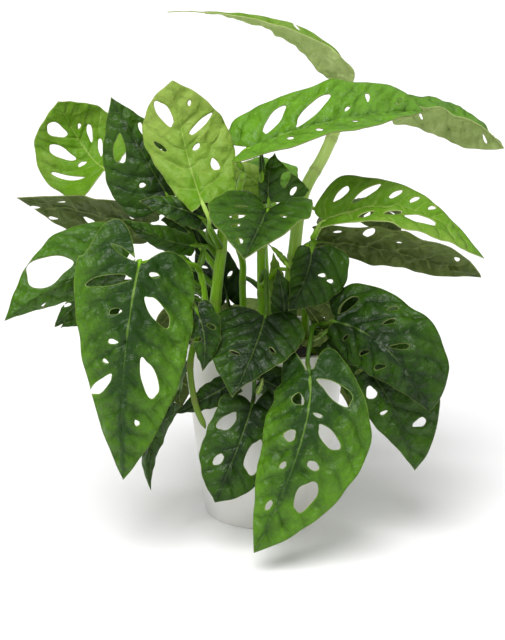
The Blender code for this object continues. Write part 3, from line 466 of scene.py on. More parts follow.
# Small blades and sheaths among the stems, too slight for solids of their own. The dark blades
# fill shaded gaps among the stems, and their deep tints there are painted shade.
SPRIGS = {
    # A dark blade in a shaded gap among the front stalks: painted shade.
    "fill_front": Blade(
        (-4, -80, 150), (13, -83, 142), (31, -83, 128), (0, -1, 0.1), (17, 13),
        ("dark", 0.15, 0.3, "dull", 0.2), lobe=(0.1, 0.05), full=(1.3, 1.2)),
    "bud_front": Blade(
        (-7, -95, 141), (-4, -98, 150), (-2, -97, 158), (0, -1, 0.1), 3,
        ("pale", 0, 0.1, "pale", 0), fold=40, lobe=0.02),
    "sheath_low": Blade(
        (50, -70, 188), (41, -74, 183), (27, -76, 181), (0, -0.8, 0.6), (6, 4),
        ("dull", 0.25, 0.6, "dull", 0.3), fold=20, lobe=0.02),
    "sheath_high": Blade(
        (50, -52, 184), (43, -56, 198), (32, -60, 212), (0, -1, 0.2), (6, 7),
        ("dull", 0.2, 0.3, "dull", 0.3), fold=20, lobe=0.02),
    "curled": Blade(
        (19, -50, 243), (12, -53, 253), (2, -50, 262), (0, -1, 0.2), 4,
        ("light", 0.1, 0.3, "pale", 0.3), fold=(50, 40), lobe=0.02),
    "stub": Blade(
        (-3, -46, 320), (-3, -47, 330), (-4, -45, 341), (0, -1, 0.1), 4,
        ("mid", 0.3, 0.1, "dull", 0.2), fold=45, lobe=0.02, full=1.8),
    # Leaves seen in shadow behind the stems; their deepest tints are painted shade.
    "dark_left": Blade(
        (-52, 10, 184), (-60, 12, 210), (-69, 12, 236), (0, -1, 0.1), (11, 8),
        ("dark", 0, 0.1, "dull", 0.1), lobe=0.05,
        holes_a=SMALL_HOLES[:1]),
    "dark_high": Blade(
        (-54, 8, 240), (-59, 6, 255), (-63, 6, 270), (0, -1, 0.1), 8,
        ("dark", 0, 0.1, "dull", 0.1), lobe=0.05, full=1.5),
    "curl_left": Blade(
        (-144, -28, 218), (-163, -36, 206), (-184, -40, 185), (0, -1, 0.2), (11, 13),
        ("dark", 0.15, 0.4, "dull", 0.2, 0.2), fold=(10, 35), full=1.3,
        holes_b=((0.6, 0.5, 8, 4, 40),)),
    # A dark blade put behind the bright upright leaf where its lower lobe lies in shade: painted
    # shade.
    "behind_up": Blade(
        (-50, -14, 268), (-48, -16, 292), (-38, -16, 316), (0, -1, 0.1), 13,
        ("dark", 0.3, 0.5, "dull", 0.1), lobe=0.05),
}


class Vine:
    """A rooted stem: its path, its radius at the foot and the top, and its leaf stalks.

    tone is how young it looks at its foot and at its top, from 0 to 1.
    """

    def __init__(self, path, radius, stalks, tone=(0.35, 0.5)):
        self.path, self.radius, self.stalks, self.tone = path, radius, stalks, tone


# Each stalk lists the points it passes between the vine and its blade.
VINES = {
    "vine_left": Vine(
        [(-46, -9, 137), (-46, -9, 168), (-43, -8, 210), (-38, -5, 250), (-38, 0, 268)],
        (5.6, 4.6),
        {"leaf_bright_up": [(-48, -24, 268)],
         "leaf_left_dark": [(-64, 8, 268)],
         "leaf_left_bright": [(-75, 20, 264), (-114, 30, 294)],
         "leaf_small_dark": [(-46, -26, 268)],
         "leaf_dull_back": [(-50, -1, 248)],
         "leaf_left_under": [(-75, 4, 240)],
         "dark_left": [(-48, 2, 176)],
         "dark_high": [(-46, 2, 230)],
         "behind_up": []}, tone=(0.5, 0.55)),
    "vine_front_left": Vine(
        [(-50, -28, 137), (-50, -28, 168), (-53, -28, 210), (-57, -31, 236)],
        (3.2, 2.8),
        {"leaf_front_left": [(-62, -50, 244), (-86, -68, 253)],
         "leaf_left_hole": [(-80, -42, 245)],
         "leaf_left_curl": [(-72, -26, 222), (-100, -22, 214)],
         "curl_left": [(-74, -30, 228), (-112, -28, 224)],
         "leaf_rolled": []}),
    "vine_centre": Vine(
        [(-2, -5, 137), (-2, -5, 168), (-3, -5, 218), (-3, -5, 246), (0, -1, 272)],
        (4.6, 3.6),
        {"leaf_centre_heart": [(0, -26, 232), (1, -46, 224)],
         "leaf_centre_tip": [(8, -30, 182)],
         "leaf_thin_pale": [(8, -4, 182)],
         "leaf_centre_twist": [(8, -28, 279), (13, -48, 287)],
         "leaf_pale_back": [(8, 12, 282)],
         "leaf_low_centre": [(-4, -40, 188), (-6, -74, 192), (-9, -86, 168)],
         "leaf_low_back": [(-10, -44, 186), (-15, -74, 188), (-17, -86, 172)],
         "fill_front": [(0, -40, 184), (-1, -70, 186), (-3, -80, 166)],
         "curled": [(10, -30, 234)],
         "stub": [(0, -16, 286), (-2, -34, 300)]}, tone=(0.3, 0.5)),
    "vine_back": Vine(
        [(-19, 20, 137), (-19, 20, 168), (-20, 20, 207), (-20, 20, 229), (-27, 5, 262),
         (-23, -10, 300), (-18, -24, 320)],
        (3.2, 3.0),
        {"leaf_top_bow": [],
         "leaf_centre_back": [(-14, -30, 288)],
         "leaf_dark_back": [(-27, 34, 180)]}, tone=(0.35, 0.6)),
    "vine_right": Vine(
        [(22, 8, 137), (22, 8, 168), (22, 8, 200), (26, 5, 240), (33, 0, 293), (52, 15, 327),
         (67, 30, 358)],
        (6.0, 5.2),
        {"leaf_top_arc": [],
         "leaf_top_right": [(92, 46, 364)]}, tone=(0.35, 1.0)),
    "vine_mid_right": Vine(
        [(36, -12, 137), (36, -12, 168), (37, -12, 210), (38, -10, 245), (41, -12, 256)],
        (3.8, 3.4),
        {"leaf_right_bright": [],
         "leaf_right_dark": [(42, 2, 238)],
         "leaf_centre_right": [(42, -24, 256)]}),
    "vine_far_right": Vine(
        [(44, -34, 137), (44, -34, 166), (46, -42, 182), (47, -48, 190)],
        (4.6, 4.0),
        {"leaf_right_low": [],
         "leaf_right_under": [(56, -50, 192)],
         "leaf_front_low": [(41, -60, 191), (38, -82, 185)],
         "sheath_low": []}),
    "vine_trailing": Vine(
        [(-34, -42, 137), (-34, -42, 168), (-42, -54, 189), (-55, -69, 192), (-64, -80, 165),
         (-60, -88, 132), (-51, -93, 110)],
        (3.2, 2.6),
        {"leaf_small_left": [(-52, -60, 208), (-56, -70, 218)],
         "leaf_low_curl": [(-72, -70, 150)]}, tone=(0.35, 0.2)),
    "vine_rear": Vine(
        [(4, 44, 137), (4, 44, 168), (0, 50, 215), (-2, 52, 262)],
        (4.6, 4.0),
        {"leaf_rear_low_left": [(-18, 56, 205), (-44, 76, 196)],
         "leaf_rear_low_right": [(24, 56, 206), (46, 76, 198)],
         "leaf_rear_middle": [(0, 70, 205), (0, 96, 198)],
         "leaf_rear_up_left": [(-28, 56, 276)],
         "leaf_rear_up_right": [(30, 58, 274)],
         "leaf_rear_top": [(0, 52, 292)]}),
}


def deselect():
    for item in list(bpy.context.selected_objects):
        item.select_set(False)


def link_mesh(name, mesh, materials):
    """An object of its own at the origin for a mesh."""
    for surface in materials:
        mesh.materials.append(surface)
    made = bpy.data.objects.new(name, mesh)
    bpy.context.scene.collection.objects.link(made)
    return made


def store_points(mesh, **layers):
    """Keep values for each point of a mesh, for its material to read."""
    for label, values in layers.items():
        layer = mesh.attributes.new(label, "FLOAT", "POINT")
        layer.data.foreach_set("value", np.asarray(values, np.float32))


def store_map(mesh, name, corners):
    """Keep a flat place for each corner of a mesh's faces."""
    layer = mesh.uv_layers.new(name=name)
    layer.data.foreach_set("uv", np.asarray(corners, float).ravel())


def settle(item, node):
    """Hide the CAD node that the piece stands in for, and hang the piece on the root body."""
    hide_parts(node)
    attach(item, "root")


def smooth_line(points, step):
    """Points at an even step along a smooth line through the given ones."""
    points = np.array(points, float)
    ends = np.vstack([points[0] * 2 - points[1], points, points[-1] * 2 - points[-2]])
    fine = []
    for a, b, c, d in zip(ends, ends[1:], ends[2:], ends[3:]):
        for i in range(PATH_STEPS):
            t = i / PATH_STEPS
            fine.append((b * 2 + (c - a) * t + (a * 2 - b * 5 + c * 4 - d) * t ** 2
                         + (b * 3 - a - c * 3 + d) * t ** 3) / 2)
    fine.append(points[-1])
    fine = np.array(fine)
    run = run_along(fine)
    goal = np.linspace(0.0, run[-1], max(2, round(run[-1] / step)) + 1)
    return np.stack([np.interp(goal, run, column) for column in fine.T], axis=1)


def ripple(x, y, seed):
    """A soft, uneven field between about -1 and 1 over flat points."""
    a = np.sin(x * 0.61 + 1.9 * np.sin(y * 0.37 + seed) + seed * 1.7)
    b = np.sin(y * 0.73 + 1.6 * np.sin(x * 0.41 - seed * 0.6) + seed * 0.9)
    c = np.sin((x + y) * 0.29 + 2.1 * np.sin((x - y) * 0.23 + seed))
    return (a + b + c) / 3


def margin_ring(blade, step, seed):
    """The smooth closed outline: up side a, down side b, with slight natural unevenness."""
    halves = []
    for k in (0, 1):
        line = smooth_line(blade.half_outline(k), step)
        heading = np.gradient(line, axis=0)
        out = unit(np.stack([-heading[:, 1], heading[:, 0]], axis=1)) * (1 - 2 * k)
        run = np.linspace(0.0, 1.0, len(line))
        wobble = sum(size * np.sin(run * speed + seed * part) for size, speed, part in MARGIN_WAVES)
        halves.append(line + out * (wobble * np.sin(np.pi * run) ** 0.5)[:, None])
    return np.vstack([halves[0], halves[1][-2::-1]])


def hole_rings(blade, step, seed):
    """Each hole as a closed ring: an oval with a blunt and a sharper end."""
    rings = []
    for k, holes in enumerate(blade.holes):
        sign = 1 - 2 * k
        for n, hole in enumerate(holes):
            s, w, long, wide = hole[:4]
            turn = math.radians(hole[4] if len(hole) > 4 else VEIN_ANGLE)
            count = max(HOLE_LEAST_POINTS, round(HOLE_POINTS * long / step))
            a = np.linspace(0.0, 2 * np.pi, count, endpoint=False)
            swell = 1 + sum(size * np.sin(turns * a + part * seed + n)
                            for size, turns, part in HOLE_WAVES)
            u = long / 2 * np.cos(a) * swell
            v = wide / 2 * np.sin(a) * (1 + HOLE_BLUNT * np.cos(a)) * swell
            rings.append(np.stack(
                [s * blade.length + u * math.cos(turn) - v * math.sin(turn),
                 sign * (w * blade.wide[k] + u * math.sin(turn) + v * math.cos(turn))], axis=1))
    return rings


def inside(ring, spots):
    """Which flat points lie in a closed ring."""
    x, y = spots[:, :1], spots[:, 1:]
    x1, y1 = ring[:, 0], ring[:, 1]
    x2, y2 = np.roll(x1, -1), np.roll(y1, -1)
    rise = np.where(y2 == y1, TINY, y2 - y1)
    hits = ((y1 > y) != (y2 > y)) & (x < x1 + (y - y1) * (x2 - x1) / rise)
    return hits.sum(axis=1) % 2 == 1


def on_sheet(rings, spots):
    """Which flat points lie inside the margin and in no hole."""
    held = inside(rings[0], spots)
    for ring in rings[1:]:
        held &= ~inside(ring, spots)
    return held


def edge_distance(rings, spots):
    """How far each flat point lies from the nearest ring, up to EDGE_REACH."""
    best = np.full(len(spots), EDGE_REACH)
    for ring in rings:
        low, high = ring.min(axis=0) - EDGE_REACH, ring.max(axis=0) + EDGE_REACH
        near = np.where(np.all((spots > low) & (spots < high), axis=1))[0]
        if not len(near):
            continue
        line = np.roll(ring, -1, axis=0) - ring
        size = np.maximum(np.sum(line ** 2, axis=1), TINY)
        for chunk in np.array_split(near, len(near) // CHUNK + 1):
            off = spots[chunk][:, None, :] - ring
            t = np.clip(np.sum(off * line, axis=2) / size, 0.0, 1.0)
            gap = np.linalg.norm(off - line * t[:, :, None], axis=2).min(axis=1)
            best[chunk] = np.minimum(best[chunk], gap)
    return best


def vein_phase(blade, k, x, y):
    """The count of side veins passed on the way from the notch, which run between the holes."""
    def along(px, py):
        share = np.clip(px / blade.length, -0.1, 1.0)
        reach = np.abs(py) / blade.wide[k]
        start, later, bow = VEIN_SWEEP
        return px - np.abs(py) * (start + later * share + bow * reach)

    pitch = min(PITCH_MOST, max(PITCH_LEAST, VEIN_PITCH * blade.length))
    marks = sorted(
        (float(along(h[0] * blade.length, h[1] * blade.wide[k])), h[2]) for h in blade.holes[k])
    kept = []
    for spot, long in marks:
        if kept and spot - kept[-1][0] < SAME_GAP * pitch:
            if long > kept[-1][1]:
                kept[-1] = (spot, long)
        else:
            kept.append((spot, long))
    spots = [m[0] for m in kept] or [FIRST_VEIN * blade.length]
    count = [0.5]
    for a, b in zip(spots, spots[1:]):
        count.append(count[-1] + max(1, round((b - a) / pitch)))
    spots = [spots[0] - SPARE_VEINS * pitch] + spots + [spots[-1] + SPARE_VEINS * pitch]
    count = [count[0] - SPARE_VEINS] + count + [count[-1] + SPARE_VEINS]
    bend = VEIN_BEND * ripple(x * BEND_ALONG, y * BEND_OUT, blade.length + k)
    return np.interp(along(x, y), spots, count) + bend + 2 * SPARE_VEINS


def flat_blade(blade, grain, seed):
    """The flat blade's points, its triangles and its closed rings, the margin first."""
    rings = [margin_ring(blade, grain * RING_STEP, seed)]
    rings += hole_rings(blade, grain * RING_STEP, seed)
    fixed = np.vstack(rings)
    edges, first = [], 0
    for ring in rings:
        edges += [(first + i, first + (i + 1) % len(ring)) for i in range(len(ring))]
        first += len(ring)
    xs = np.arange(0.0, blade.length, grain)
    rows = [np.stack([xs, np.full(len(xs), off)], axis=1) for off in RIB_ROWS]
    low, high = fixed.min(axis=0), fixed.max(axis=0)
    for n, y in enumerate(np.arange(low[1], high[1], grain * ROW_STEP)):
        if abs(y) >= RIB_STRIP:
            row = np.arange(low[0] + (n % 2) * grain / 2, high[0], grain)
            rows.append(np.stack([row, np.full(len(row), y)], axis=1))
    spots = np.vstack(rows)
    spots = spots[on_sheet(rings, spots)]
    spots = spots[edge_distance(rings, spots) > CLEARANCE * grain]
    flat, _, faces, _, _, _ = geometry.delaunay_2d_cdt(
        [Vector(p) for p in np.vstack([fixed, spots])], edges, [], 0, 1e-6)
    flat = np.array(flat)
    faces = np.array([f for f in faces if len(f) == 3])
    faces = faces[on_sheet(rings, flat[faces].mean(axis=1))]
    used, faces = np.unique(faces, return_inverse=True)
    flat, faces = flat[used], faces.reshape(-1, 3)
    x, y = flat[faces].transpose(2, 0, 1)
    area = ((x[:, 1] - x[:, 0]) * (y[:, 2] - y[:, 0]) - (x[:, 2] - x[:, 0]) * (y[:, 1] - y[:, 0]))
    faces[area < 0] = faces[area < 0][:, ::-1]
    return flat, faces, rings


def blade_faces(blade, x, y, edge, phase, rib_half, settings, seed):
    """The points of the upper face and of the underside over the flat blade's."""
    reach, share = blade.shares(x, y)
    along = blade.place(x + PROBE, y) - blade.place(x - PROBE, y)
    across = blade.place(x, y + PROBE) - blade.place(x, y - PROBE)
    normal = unit(np.cross(along, across))

    # The bulges die out at the midrib and at outlines, and the lumps at outlines.
    puff = np.abs(np.sin(np.pi * phase)) ** PUFF_ROUND - PUFF_LOW
    puff *= PUFF_MEAN + PUFF_SPREAD * ripple(x * PUFF_PATCH + 7, y * PUFF_PATCH, seed + 3)
    puff *= np.clip(reach / PUFF_START, 0.0, 1.0) * (1 - PUFF_LOSS * reach ** 2)
    puff *= np.clip(edge / PUFF_ROOM, PUFF_LEAST, 1.0) * (1 - PUFF_FLAT * share)
    lumps = sum(part * ripple(x * pitch, y * pitch, seed + more) for part, pitch, more in LUMPS)
    lumps *= np.clip(edge / LUMP_ROOM, LUMP_LEAST, 1.0)
    raised = settings.quilt / MM * blade.size * (puff + LUMP_SHARE * lumps)
    frill = ripple(x * FRILL_ALONG, reach * np.where(y < 0, -FRILL_OUT, FRILL_OUT), seed)
    raised += settings.frill / MM * blade.size * reach ** 3 * frill

    rib = np.exp(-(y / rib_half) ** 2) * np.clip((RIB_END - share) / RIB_FADE, 0.0, 1.0)
    roll = RIM_ROLL * np.exp(-(edge / RIM_REACH) ** 2)
    top = raised - settings.groove / MM * rib + roll - SINK
    bottom = (raised - settings.thickness / MM - roll / 2
              - settings.rib / MM * rib * (1 - RIB_SINK * share))
    place = blade.place(x, y)
    return place + normal * top[:, None], place + normal * bottom[:, None]


def blade_mesh(name, blade, settings, seed):
    """The veined blade as a closed shell: upper face, underside with its rib, and rims."""
    flat, tops, rings = flat_blade(blade, settings.grain / MM, seed)
    x, y = flat.T
    count = len(flat)
    reach, share = blade.shares(x, y)
    edge = edge_distance(rings, flat)
    edge[edge < ON_RIM] = 0.0
    phases = [vein_phase(blade, k, x, y) for k in (0, 1)]
    phase = np.where(y < 0, phases[1], phases[0])
    rib_half = (RIB_HALF - RIB_TAPER * share) * max(RIB_LEAST, blade.size)
    shell = blade_faces(blade, x, y, edge, phase, rib_half, settings, seed)

    sides = np.vstack([tops[:, [0, 1]], tops[:, [1, 2]], tops[:, [2, 0]]])
    key = set(map(tuple, sides.tolist()))
    rims = [(b, a, a + count, b + count) for a, b in sorted(key) if (b, a) not in key]
    bottoms = tops[:, ::-1] + count
    mesh = bpy.data.meshes.new(name)
    mesh.from_pydata(np.vstack(shell) * MM, [], tops.tolist() + bottoms.tolist() + rims)
    groups = [len(tops), len(bottoms), len(rims)]
    mesh.polygons.foreach_set("material_index", np.repeat([0, 1, 1], groups).astype(np.int32))
    mesh.polygons.foreach_set("use_smooth", np.ones(len(mesh.polygons), bool))

    corners = np.zeros(len(mesh.loops), np.int32)
    mesh.loops.foreach_get("vertex_index", corners)
    corners %= count
    sizes = np.repeat([3, 3, 4], groups)
    owner = np.repeat(np.arange(len(sizes)), sizes)
    on_b = (np.bincount(owner, y[corners]) / sizes < 0)[owner]
    store_map(mesh, "sheet", flat[corners] / MAP_UNIT)
    passed = np.where(on_b, phases[1][corners], phases[0][corners])
    store_map(mesh, "veins", np.stack([passed, (np.abs(y) / rib_half)[corners]], axis=1))

    _, base, tip, _, spread, behind = blade.look
    growth = spread * (reach - GROWTH_MIDDLE)
    face = base * (1 - share) + tip * share + growth
    back = (base + tip) / 2 + behind + growth
    tint = np.clip(np.append(face, back), 0.0, 1.0)
    store_points(mesh, tint=tint, edge=np.tile(edge, 2))
    mesh.validate()
    mesh.update()
    return mesh


class Wires:
    """Adds nodes to a tree and joins them, for short material code."""

    def __init__(self, tree):
        self.tree = tree

    def add(self, kind, **values):
        """A node with its settings, and its inputs from numbers or other nodes' outputs."""
        made = self.tree.nodes.new("ShaderNode" + kind)
        for key, value in values.items():
            if key.startswith("in_"):
                name = key[3:]
                self.feed(made.inputs[int(name) if name.isdigit() else name], value)
            else:
                setattr(made, key, value)
        return made

    def feed(self, port, value):
        if isinstance(value, bpy.types.NodeSocket):
            self.tree.links.new(value, port)
        else:
            port.default_value = (*value, 1.0) if port.type == "RGBA" else value

    def sums(self, operation, a, b=0.5, c=0.5, clamp=False):
        return self.add("Math", operation=operation, use_clamp=clamp,
                        in_0=a, in_1=b, in_2=c).outputs[0]

    def scaled(self, a, b):
        return self.sums("MULTIPLY", a, b)

    def more(self, value, amount, base, clamp=False):
        """The base with an amount of the value added to it."""
        return self.sums("MULTIPLY_ADD", value, amount, base, clamp)

    def sway(self, value, amount, base, clamp=False):
        """The base with an amount of the value's distance from a half added to it."""
        return self.more(self.sums("SUBTRACT", value), amount, base, clamp)

    def ramp(self, value, low, high, start=0.0, end=1.0):
        """The value eased from low..high to start..end."""
        return self.add("MapRange", interpolation_type="SMOOTHSTEP", in_0=value, in_1=low,
                        in_2=high, in_3=start, in_4=end).outputs[0]

    def blend(self, share, a, b):
        made = self.add("Mix", data_type="RGBA", clamp_factor=True)
        for port, value in zip((0, 6, 7), (share, a, b)):
            self.feed(made.inputs[port], value)
        return made.outputs[2]

    def noise(self, vector, scale, detail=3.0, rough=0.5):
        return self.add("TexNoise", in_Vector=vector, in_Scale=scale, in_Detail=detail,
                        in_Roughness=rough).outputs[0]

    def stretched(self, vector, scale):
        return self.add("Mapping", in_Vector=vector, in_Scale=scale).outputs[0]

    def cracks(self, vector, scale):
        """The distance to the nearest edge between uneven cells."""
        return self.add("TexVoronoi", feature="DISTANCE_TO_EDGE", in_Vector=vector,
                        in_Scale=scale).outputs[0]

    def value(self, name):
        """A value that the mesh keeps for each of its points."""
        return self.add("Attribute", attribute_name=name).outputs[2]

    def relief(self, shader, height, strength, distance):
        """Raise and lower the surface by a height that changes over it."""
        bump = self.add("Bump", in_Strength=strength, in_Distance=distance, in_Height=height)
        self.feed(shader.inputs["Normal"], bump.outputs[0])


LEAF_COLOURS = ("Deep", "Bright", "Vein", "Rib", "Rim")
LEAF_NUMBERS = ("Vein Strength", "Rib Strength", "Rib End", "Gloss", "Blotch")
# Each leaf finish's LEAF_NUMBERS: how strong its vein lines are, which on the dark and mid finishes
# are painted shade in the sunken veins, and its midrib at the base, how much of that the tip has, its
# roughness, and how blotchy it is.
FINISHES = {
    "dark": (0.20, 0.32, 0.1, 0.36, 0.40),
    "mid": (0.22, 0.55, 0.1, 0.38, 0.28),
    "light": (0.30, 0.60, 0.5, 0.46, 0.30),
    "dull": (0.40, 0.70, 0.6, 0.55, 0.40),
    "pale": (0.45, 0.80, 0.6, 0.58, 0.30),
}


def leaf_group():
    """Colours, gloss and relief of a leaf face from its sheet, veins, tint and edge data."""
    tree = bpy.data.node_groups.new("veined leaf face", "ShaderNodeTree")
    for way, kind, labels in (
            ("INPUT", "Color", LEAF_COLOURS), ("INPUT", "Float", LEAF_NUMBERS),
            ("OUTPUT", "Color", ("Color",)), ("OUTPUT", "Float", ("Roughness", "Height"))):
        for label in labels:
            tree.interface.new_socket(label, in_out=way, socket_type="NodeSocket" + kind)
    given = tree.nodes.new("NodeGroupInput").outputs
    end = tree.nodes.new("NodeGroupOutput").inputs
    w = Wires(tree)
    sheet = w.add("UVMap", uv_map="sheet").outputs[0]
    veins = w.add("SeparateXYZ", in_0=w.add("UVMap", uv_map="veins").outputs[0]).outputs
    edge = w.value("edge")
    fine = w.noise(sheet, 26.0, 4.0, 0.6)
    net = w.ramp(w.cracks(sheet, 22.0), 0.0, 0.12, 1.0, 0.0)

    # The side veins wander a little, and fade before the margin.
    wander = w.sway(w.noise(sheet, 9.0, 1.0), 0.22, veins[0])
    off = w.sums("PINGPONG", wander, 0.5)
    halo = w.ramp(off, 0.0, 0.30, 1.0, 0.0)
    line = w.scaled(w.ramp(off, 0.012, 0.085, 1.0, 0.0), w.ramp(edge, 1.0, 9.0))
    rib = w.ramp(veins[1], 0.3, 0.85, 1.0, 0.0)
    rib_side_painted_shade = w.ramp(veins[1], 0.8, 5.0, 1.0, 0.0)

    # The leaf's green goes from deep to bright, and is darker along the veins as painted shade.
    broad = w.scaled(w.sums("SUBTRACT", w.noise(sheet, 4.5, 2.0)), given["Blotch"])
    green = w.sway(fine, 0.25, w.more(broad, 2.0, w.value("tint")))
    # Painted shade in the sunken veins and beside the midrib, and faintly along the fine net.
    green = w.more(rib_side_painted_shade, -0.15, w.more(halo, -0.09, green))
    green = w.more(net, -0.04, green, clamp=True)
    ground = w.blend(green, given["Deep"], given["Bright"])
    ground = w.blend(w.scaled(line, given["Vein Strength"]), ground, given["Vein"])
    run = w.add("SeparateXYZ", in_0=sheet).outputs[0]
    fade = w.add("MapRange", in_0=run, in_1=0.2, in_2=1.0, in_3=1.0, in_4=given["Rib End"])
    share = w.scaled(w.scaled(rib, given["Rib Strength"]), fade.outputs[0])
    ground = w.blend(share, ground, given["Rib"])
    w.feed(end["Color"], w.blend(w.ramp(edge, 0.1, 0.8, 0.65, 0.0), ground, given["Rim"]))

    w.feed(end["Roughness"], w.more(halo, 0.05, w.sway(fine, 0.25, given["Gloss"]), clamp=True))
    drift = w.add("TexNoise", in_Vector=sheet, in_Scale=7.0, in_Detail=1.0).outputs[1]
    warp = w.add("VectorMath", operation="MULTIPLY_ADD", in_0=drift, in_1=(0.09, 0.09, 0.0),
                 in_2=sheet).outputs[0]
    quilt = w.scaled(w.ramp(w.cracks(warp, 8.5), 0.0, 0.45), w.ramp(edge, 0.5, 6.0, 0.3, 1.0))
    height = w.more(line, -0.25, w.more(halo, -0.45, w.scaled(fine, 0.25)))
    w.feed(end["Height"], w.more(net, -0.12, w.more(quilt, 0.9, height)))
    return tree


def plain_material(name, colour, roughness, specular=0.5):
    """A Principled material with its wires and shader, to be finished by the caller."""
    made = bpy.data.materials.new(name)
    made.use_nodes = True
    shader = made.node_tree.nodes["Principled BSDF"]
    shader.inputs["Base Color"].default_value = (*colour, 1.0)
    shader.inputs["Roughness"].default_value = roughness
    shader.inputs["Specular IOR Level"].default_value = specular
    return made, Wires(made.node_tree), shader


def leaf_materials(settings):
    """Make every leaf finish, each around the shared leaf group."""
    group = leaf_group()
    vein = settings.vein_colour
    for tone, numbers in FINISHES.items():
        deep = getattr(settings, tone + "_deep")
        bright = getattr(settings, tone + "_bright")
        rib = tuple(0.6 * b + 0.4 * v for b, v in zip(bright, vein))
        # The dark and mid finishes draw their vein lines in the deep colour, as painted shade in the
        # sunken veins; the others have pale veins.
        vein_line_or_groove_shade = deep if tone in ("dark", "mid") else rib
        rim = tuple(0.5 * b + 0.5 * r for b, r in zip(bright, settings.rim_colour))
        _, w, shader = plain_material(
            "veined_leaf_" + tone, bright, roughness=0.5, specular=0.24)
        face = w.add("Group", node_tree=group)
        values = (deep, bright, vein_line_or_groove_shade, rib, rim, *numbers)
        for label, value in zip(LEAF_COLOURS + LEAF_NUMBERS, values):
            w.feed(face.inputs[label], value)
        w.feed(shader.inputs["Base Color"], face.outputs["Color"])
        w.feed(shader.inputs["Roughness"], face.outputs["Roughness"])
        w.relief(shader, face.outputs["Height"], strength=1.0, distance=settings.relief)


def stem_material(settings):
    """Fleshy green stem: fine streaks along it, paler where it is young, corky at the nodes."""
    made, w, shader = plain_material(
        "fleshy_stem", settings.stem_bright, roughness=0.4, specular=0.3)
    skin = w.add("UVMap", uv_map="skin").outputs[0]
    cork = w.value("cork")
    streaks = w.noise(w.stretched(skin, (7.0, 1.3, 1.0)), 3.0, 4.0, 0.6)
    specks = w.noise(skin, 60.0, 2.0)
    share = w.sway(streaks, 0.7, w.value("young"), clamp=True)
    ground = w.blend(w.sums("MULTIPLY", share, 2.0, clamp=True), settings.stem_deep,
                     settings.stem_bright)
    ground = w.blend(w.more(share, 2.0, -1.0, clamp=True), ground, settings.stem_pale)
    share = w.sums("MULTIPLY", cork, w.ramp(specks, 0.35, 0.6), clamp=True)
    w.feed(shader.inputs["Base Color"], w.blend(share, ground, settings.cork_colour))
    w.feed(shader.inputs["Roughness"], w.more(cork, 0.3, 0.36))
    w.relief(shader, w.more(specks, 0.3, streaks), strength=0.5, distance=0.0005)
    return made


def soil_material(settings):
    """Moist dark compost: patchy colour and a crumbly surface."""
    made, w, shader = plain_material("moist_compost", settings.soil_deep, roughness=0.85)
    spot = w.add("TexCoord").outputs["Object"]
    patches = w.noise(spot, 60.0, 5.0, 0.65)
    grit = w.noise(spot, 420.0, 3.0, 0.6)
    share = w.ramp(w.more(grit, 0.5, w.scaled(patches, 0.6)), 0.4, 0.8)
    w.feed(shader.inputs["Base Color"], w.blend(share, settings.soil_deep, settings.soil_bright))
    w.feed(shader.inputs["Roughness"], w.ramp(patches, 0.3, 0.7, 0.65, 0.95))
    w.relief(shader, w.more(grit, 0.6, patches), strength=0.9, distance=0.0012)
    return made


def bark_material(settings):
    """Bark chips and twigs: brown with grain along the piece."""
    made, w, shader = plain_material("bark_chip", settings.bark_bright, roughness=0.8)
    spot = w.add("TexCoord").outputs["Object"]
    grain = w.noise(w.stretched(spot, (1.0, 3.0, 1.0)), 260.0, 4.0, 0.6)
    share = w.sway(w.noise(spot, 35.0, 2.0), 1.6, grain, clamp=True)
    w.feed(shader.inputs["Base Color"], w.blend(share, settings.bark_deep, settings.bark_bright))
    w.relief(shader, grain, strength=0.7, distance=0.0006)
    return made


def glaze_material(settings):
    """White satin glaze: faint cloudiness, pinhole specks and a soft unevenness."""
    base, gloss = settings.glaze_colour, settings.glaze_gloss
    made, w, shader = plain_material("white_glaze", base, gloss)
    spot = w.add("TexCoord").outputs["Object"]
    cloud = w.noise(spot, 14.0, 3.0)
    specks = w.ramp(w.noise(spot, 520.0, 1.0), 0.72, 0.80)
    warm = tuple(c * f for c, f in zip(base, (0.94, 0.925, 0.89)))
    speck = tuple(c * 0.55 for c in base)
    ground = w.blend(w.ramp(cloud, 0.35, 0.65), base, warm)
    w.feed(shader.inputs["Base Color"], w.blend(w.scaled(specks, 0.5), ground, speck))
    w.feed(shader.inputs["Roughness"], w.sway(cloud, 0.25, gloss))
    flow = w.noise(w.stretched(spot, (1.0, 1.0, 5.0)), 9.0, 2.0)
    w.relief(shader, w.more(specks, -0.2, flow), strength=0.25, distance=0.001)
    shader.inputs["Coat Weight"].default_value = 0.25
    shader.inputs["Coat Roughness"].default_value = 0.2
    return made


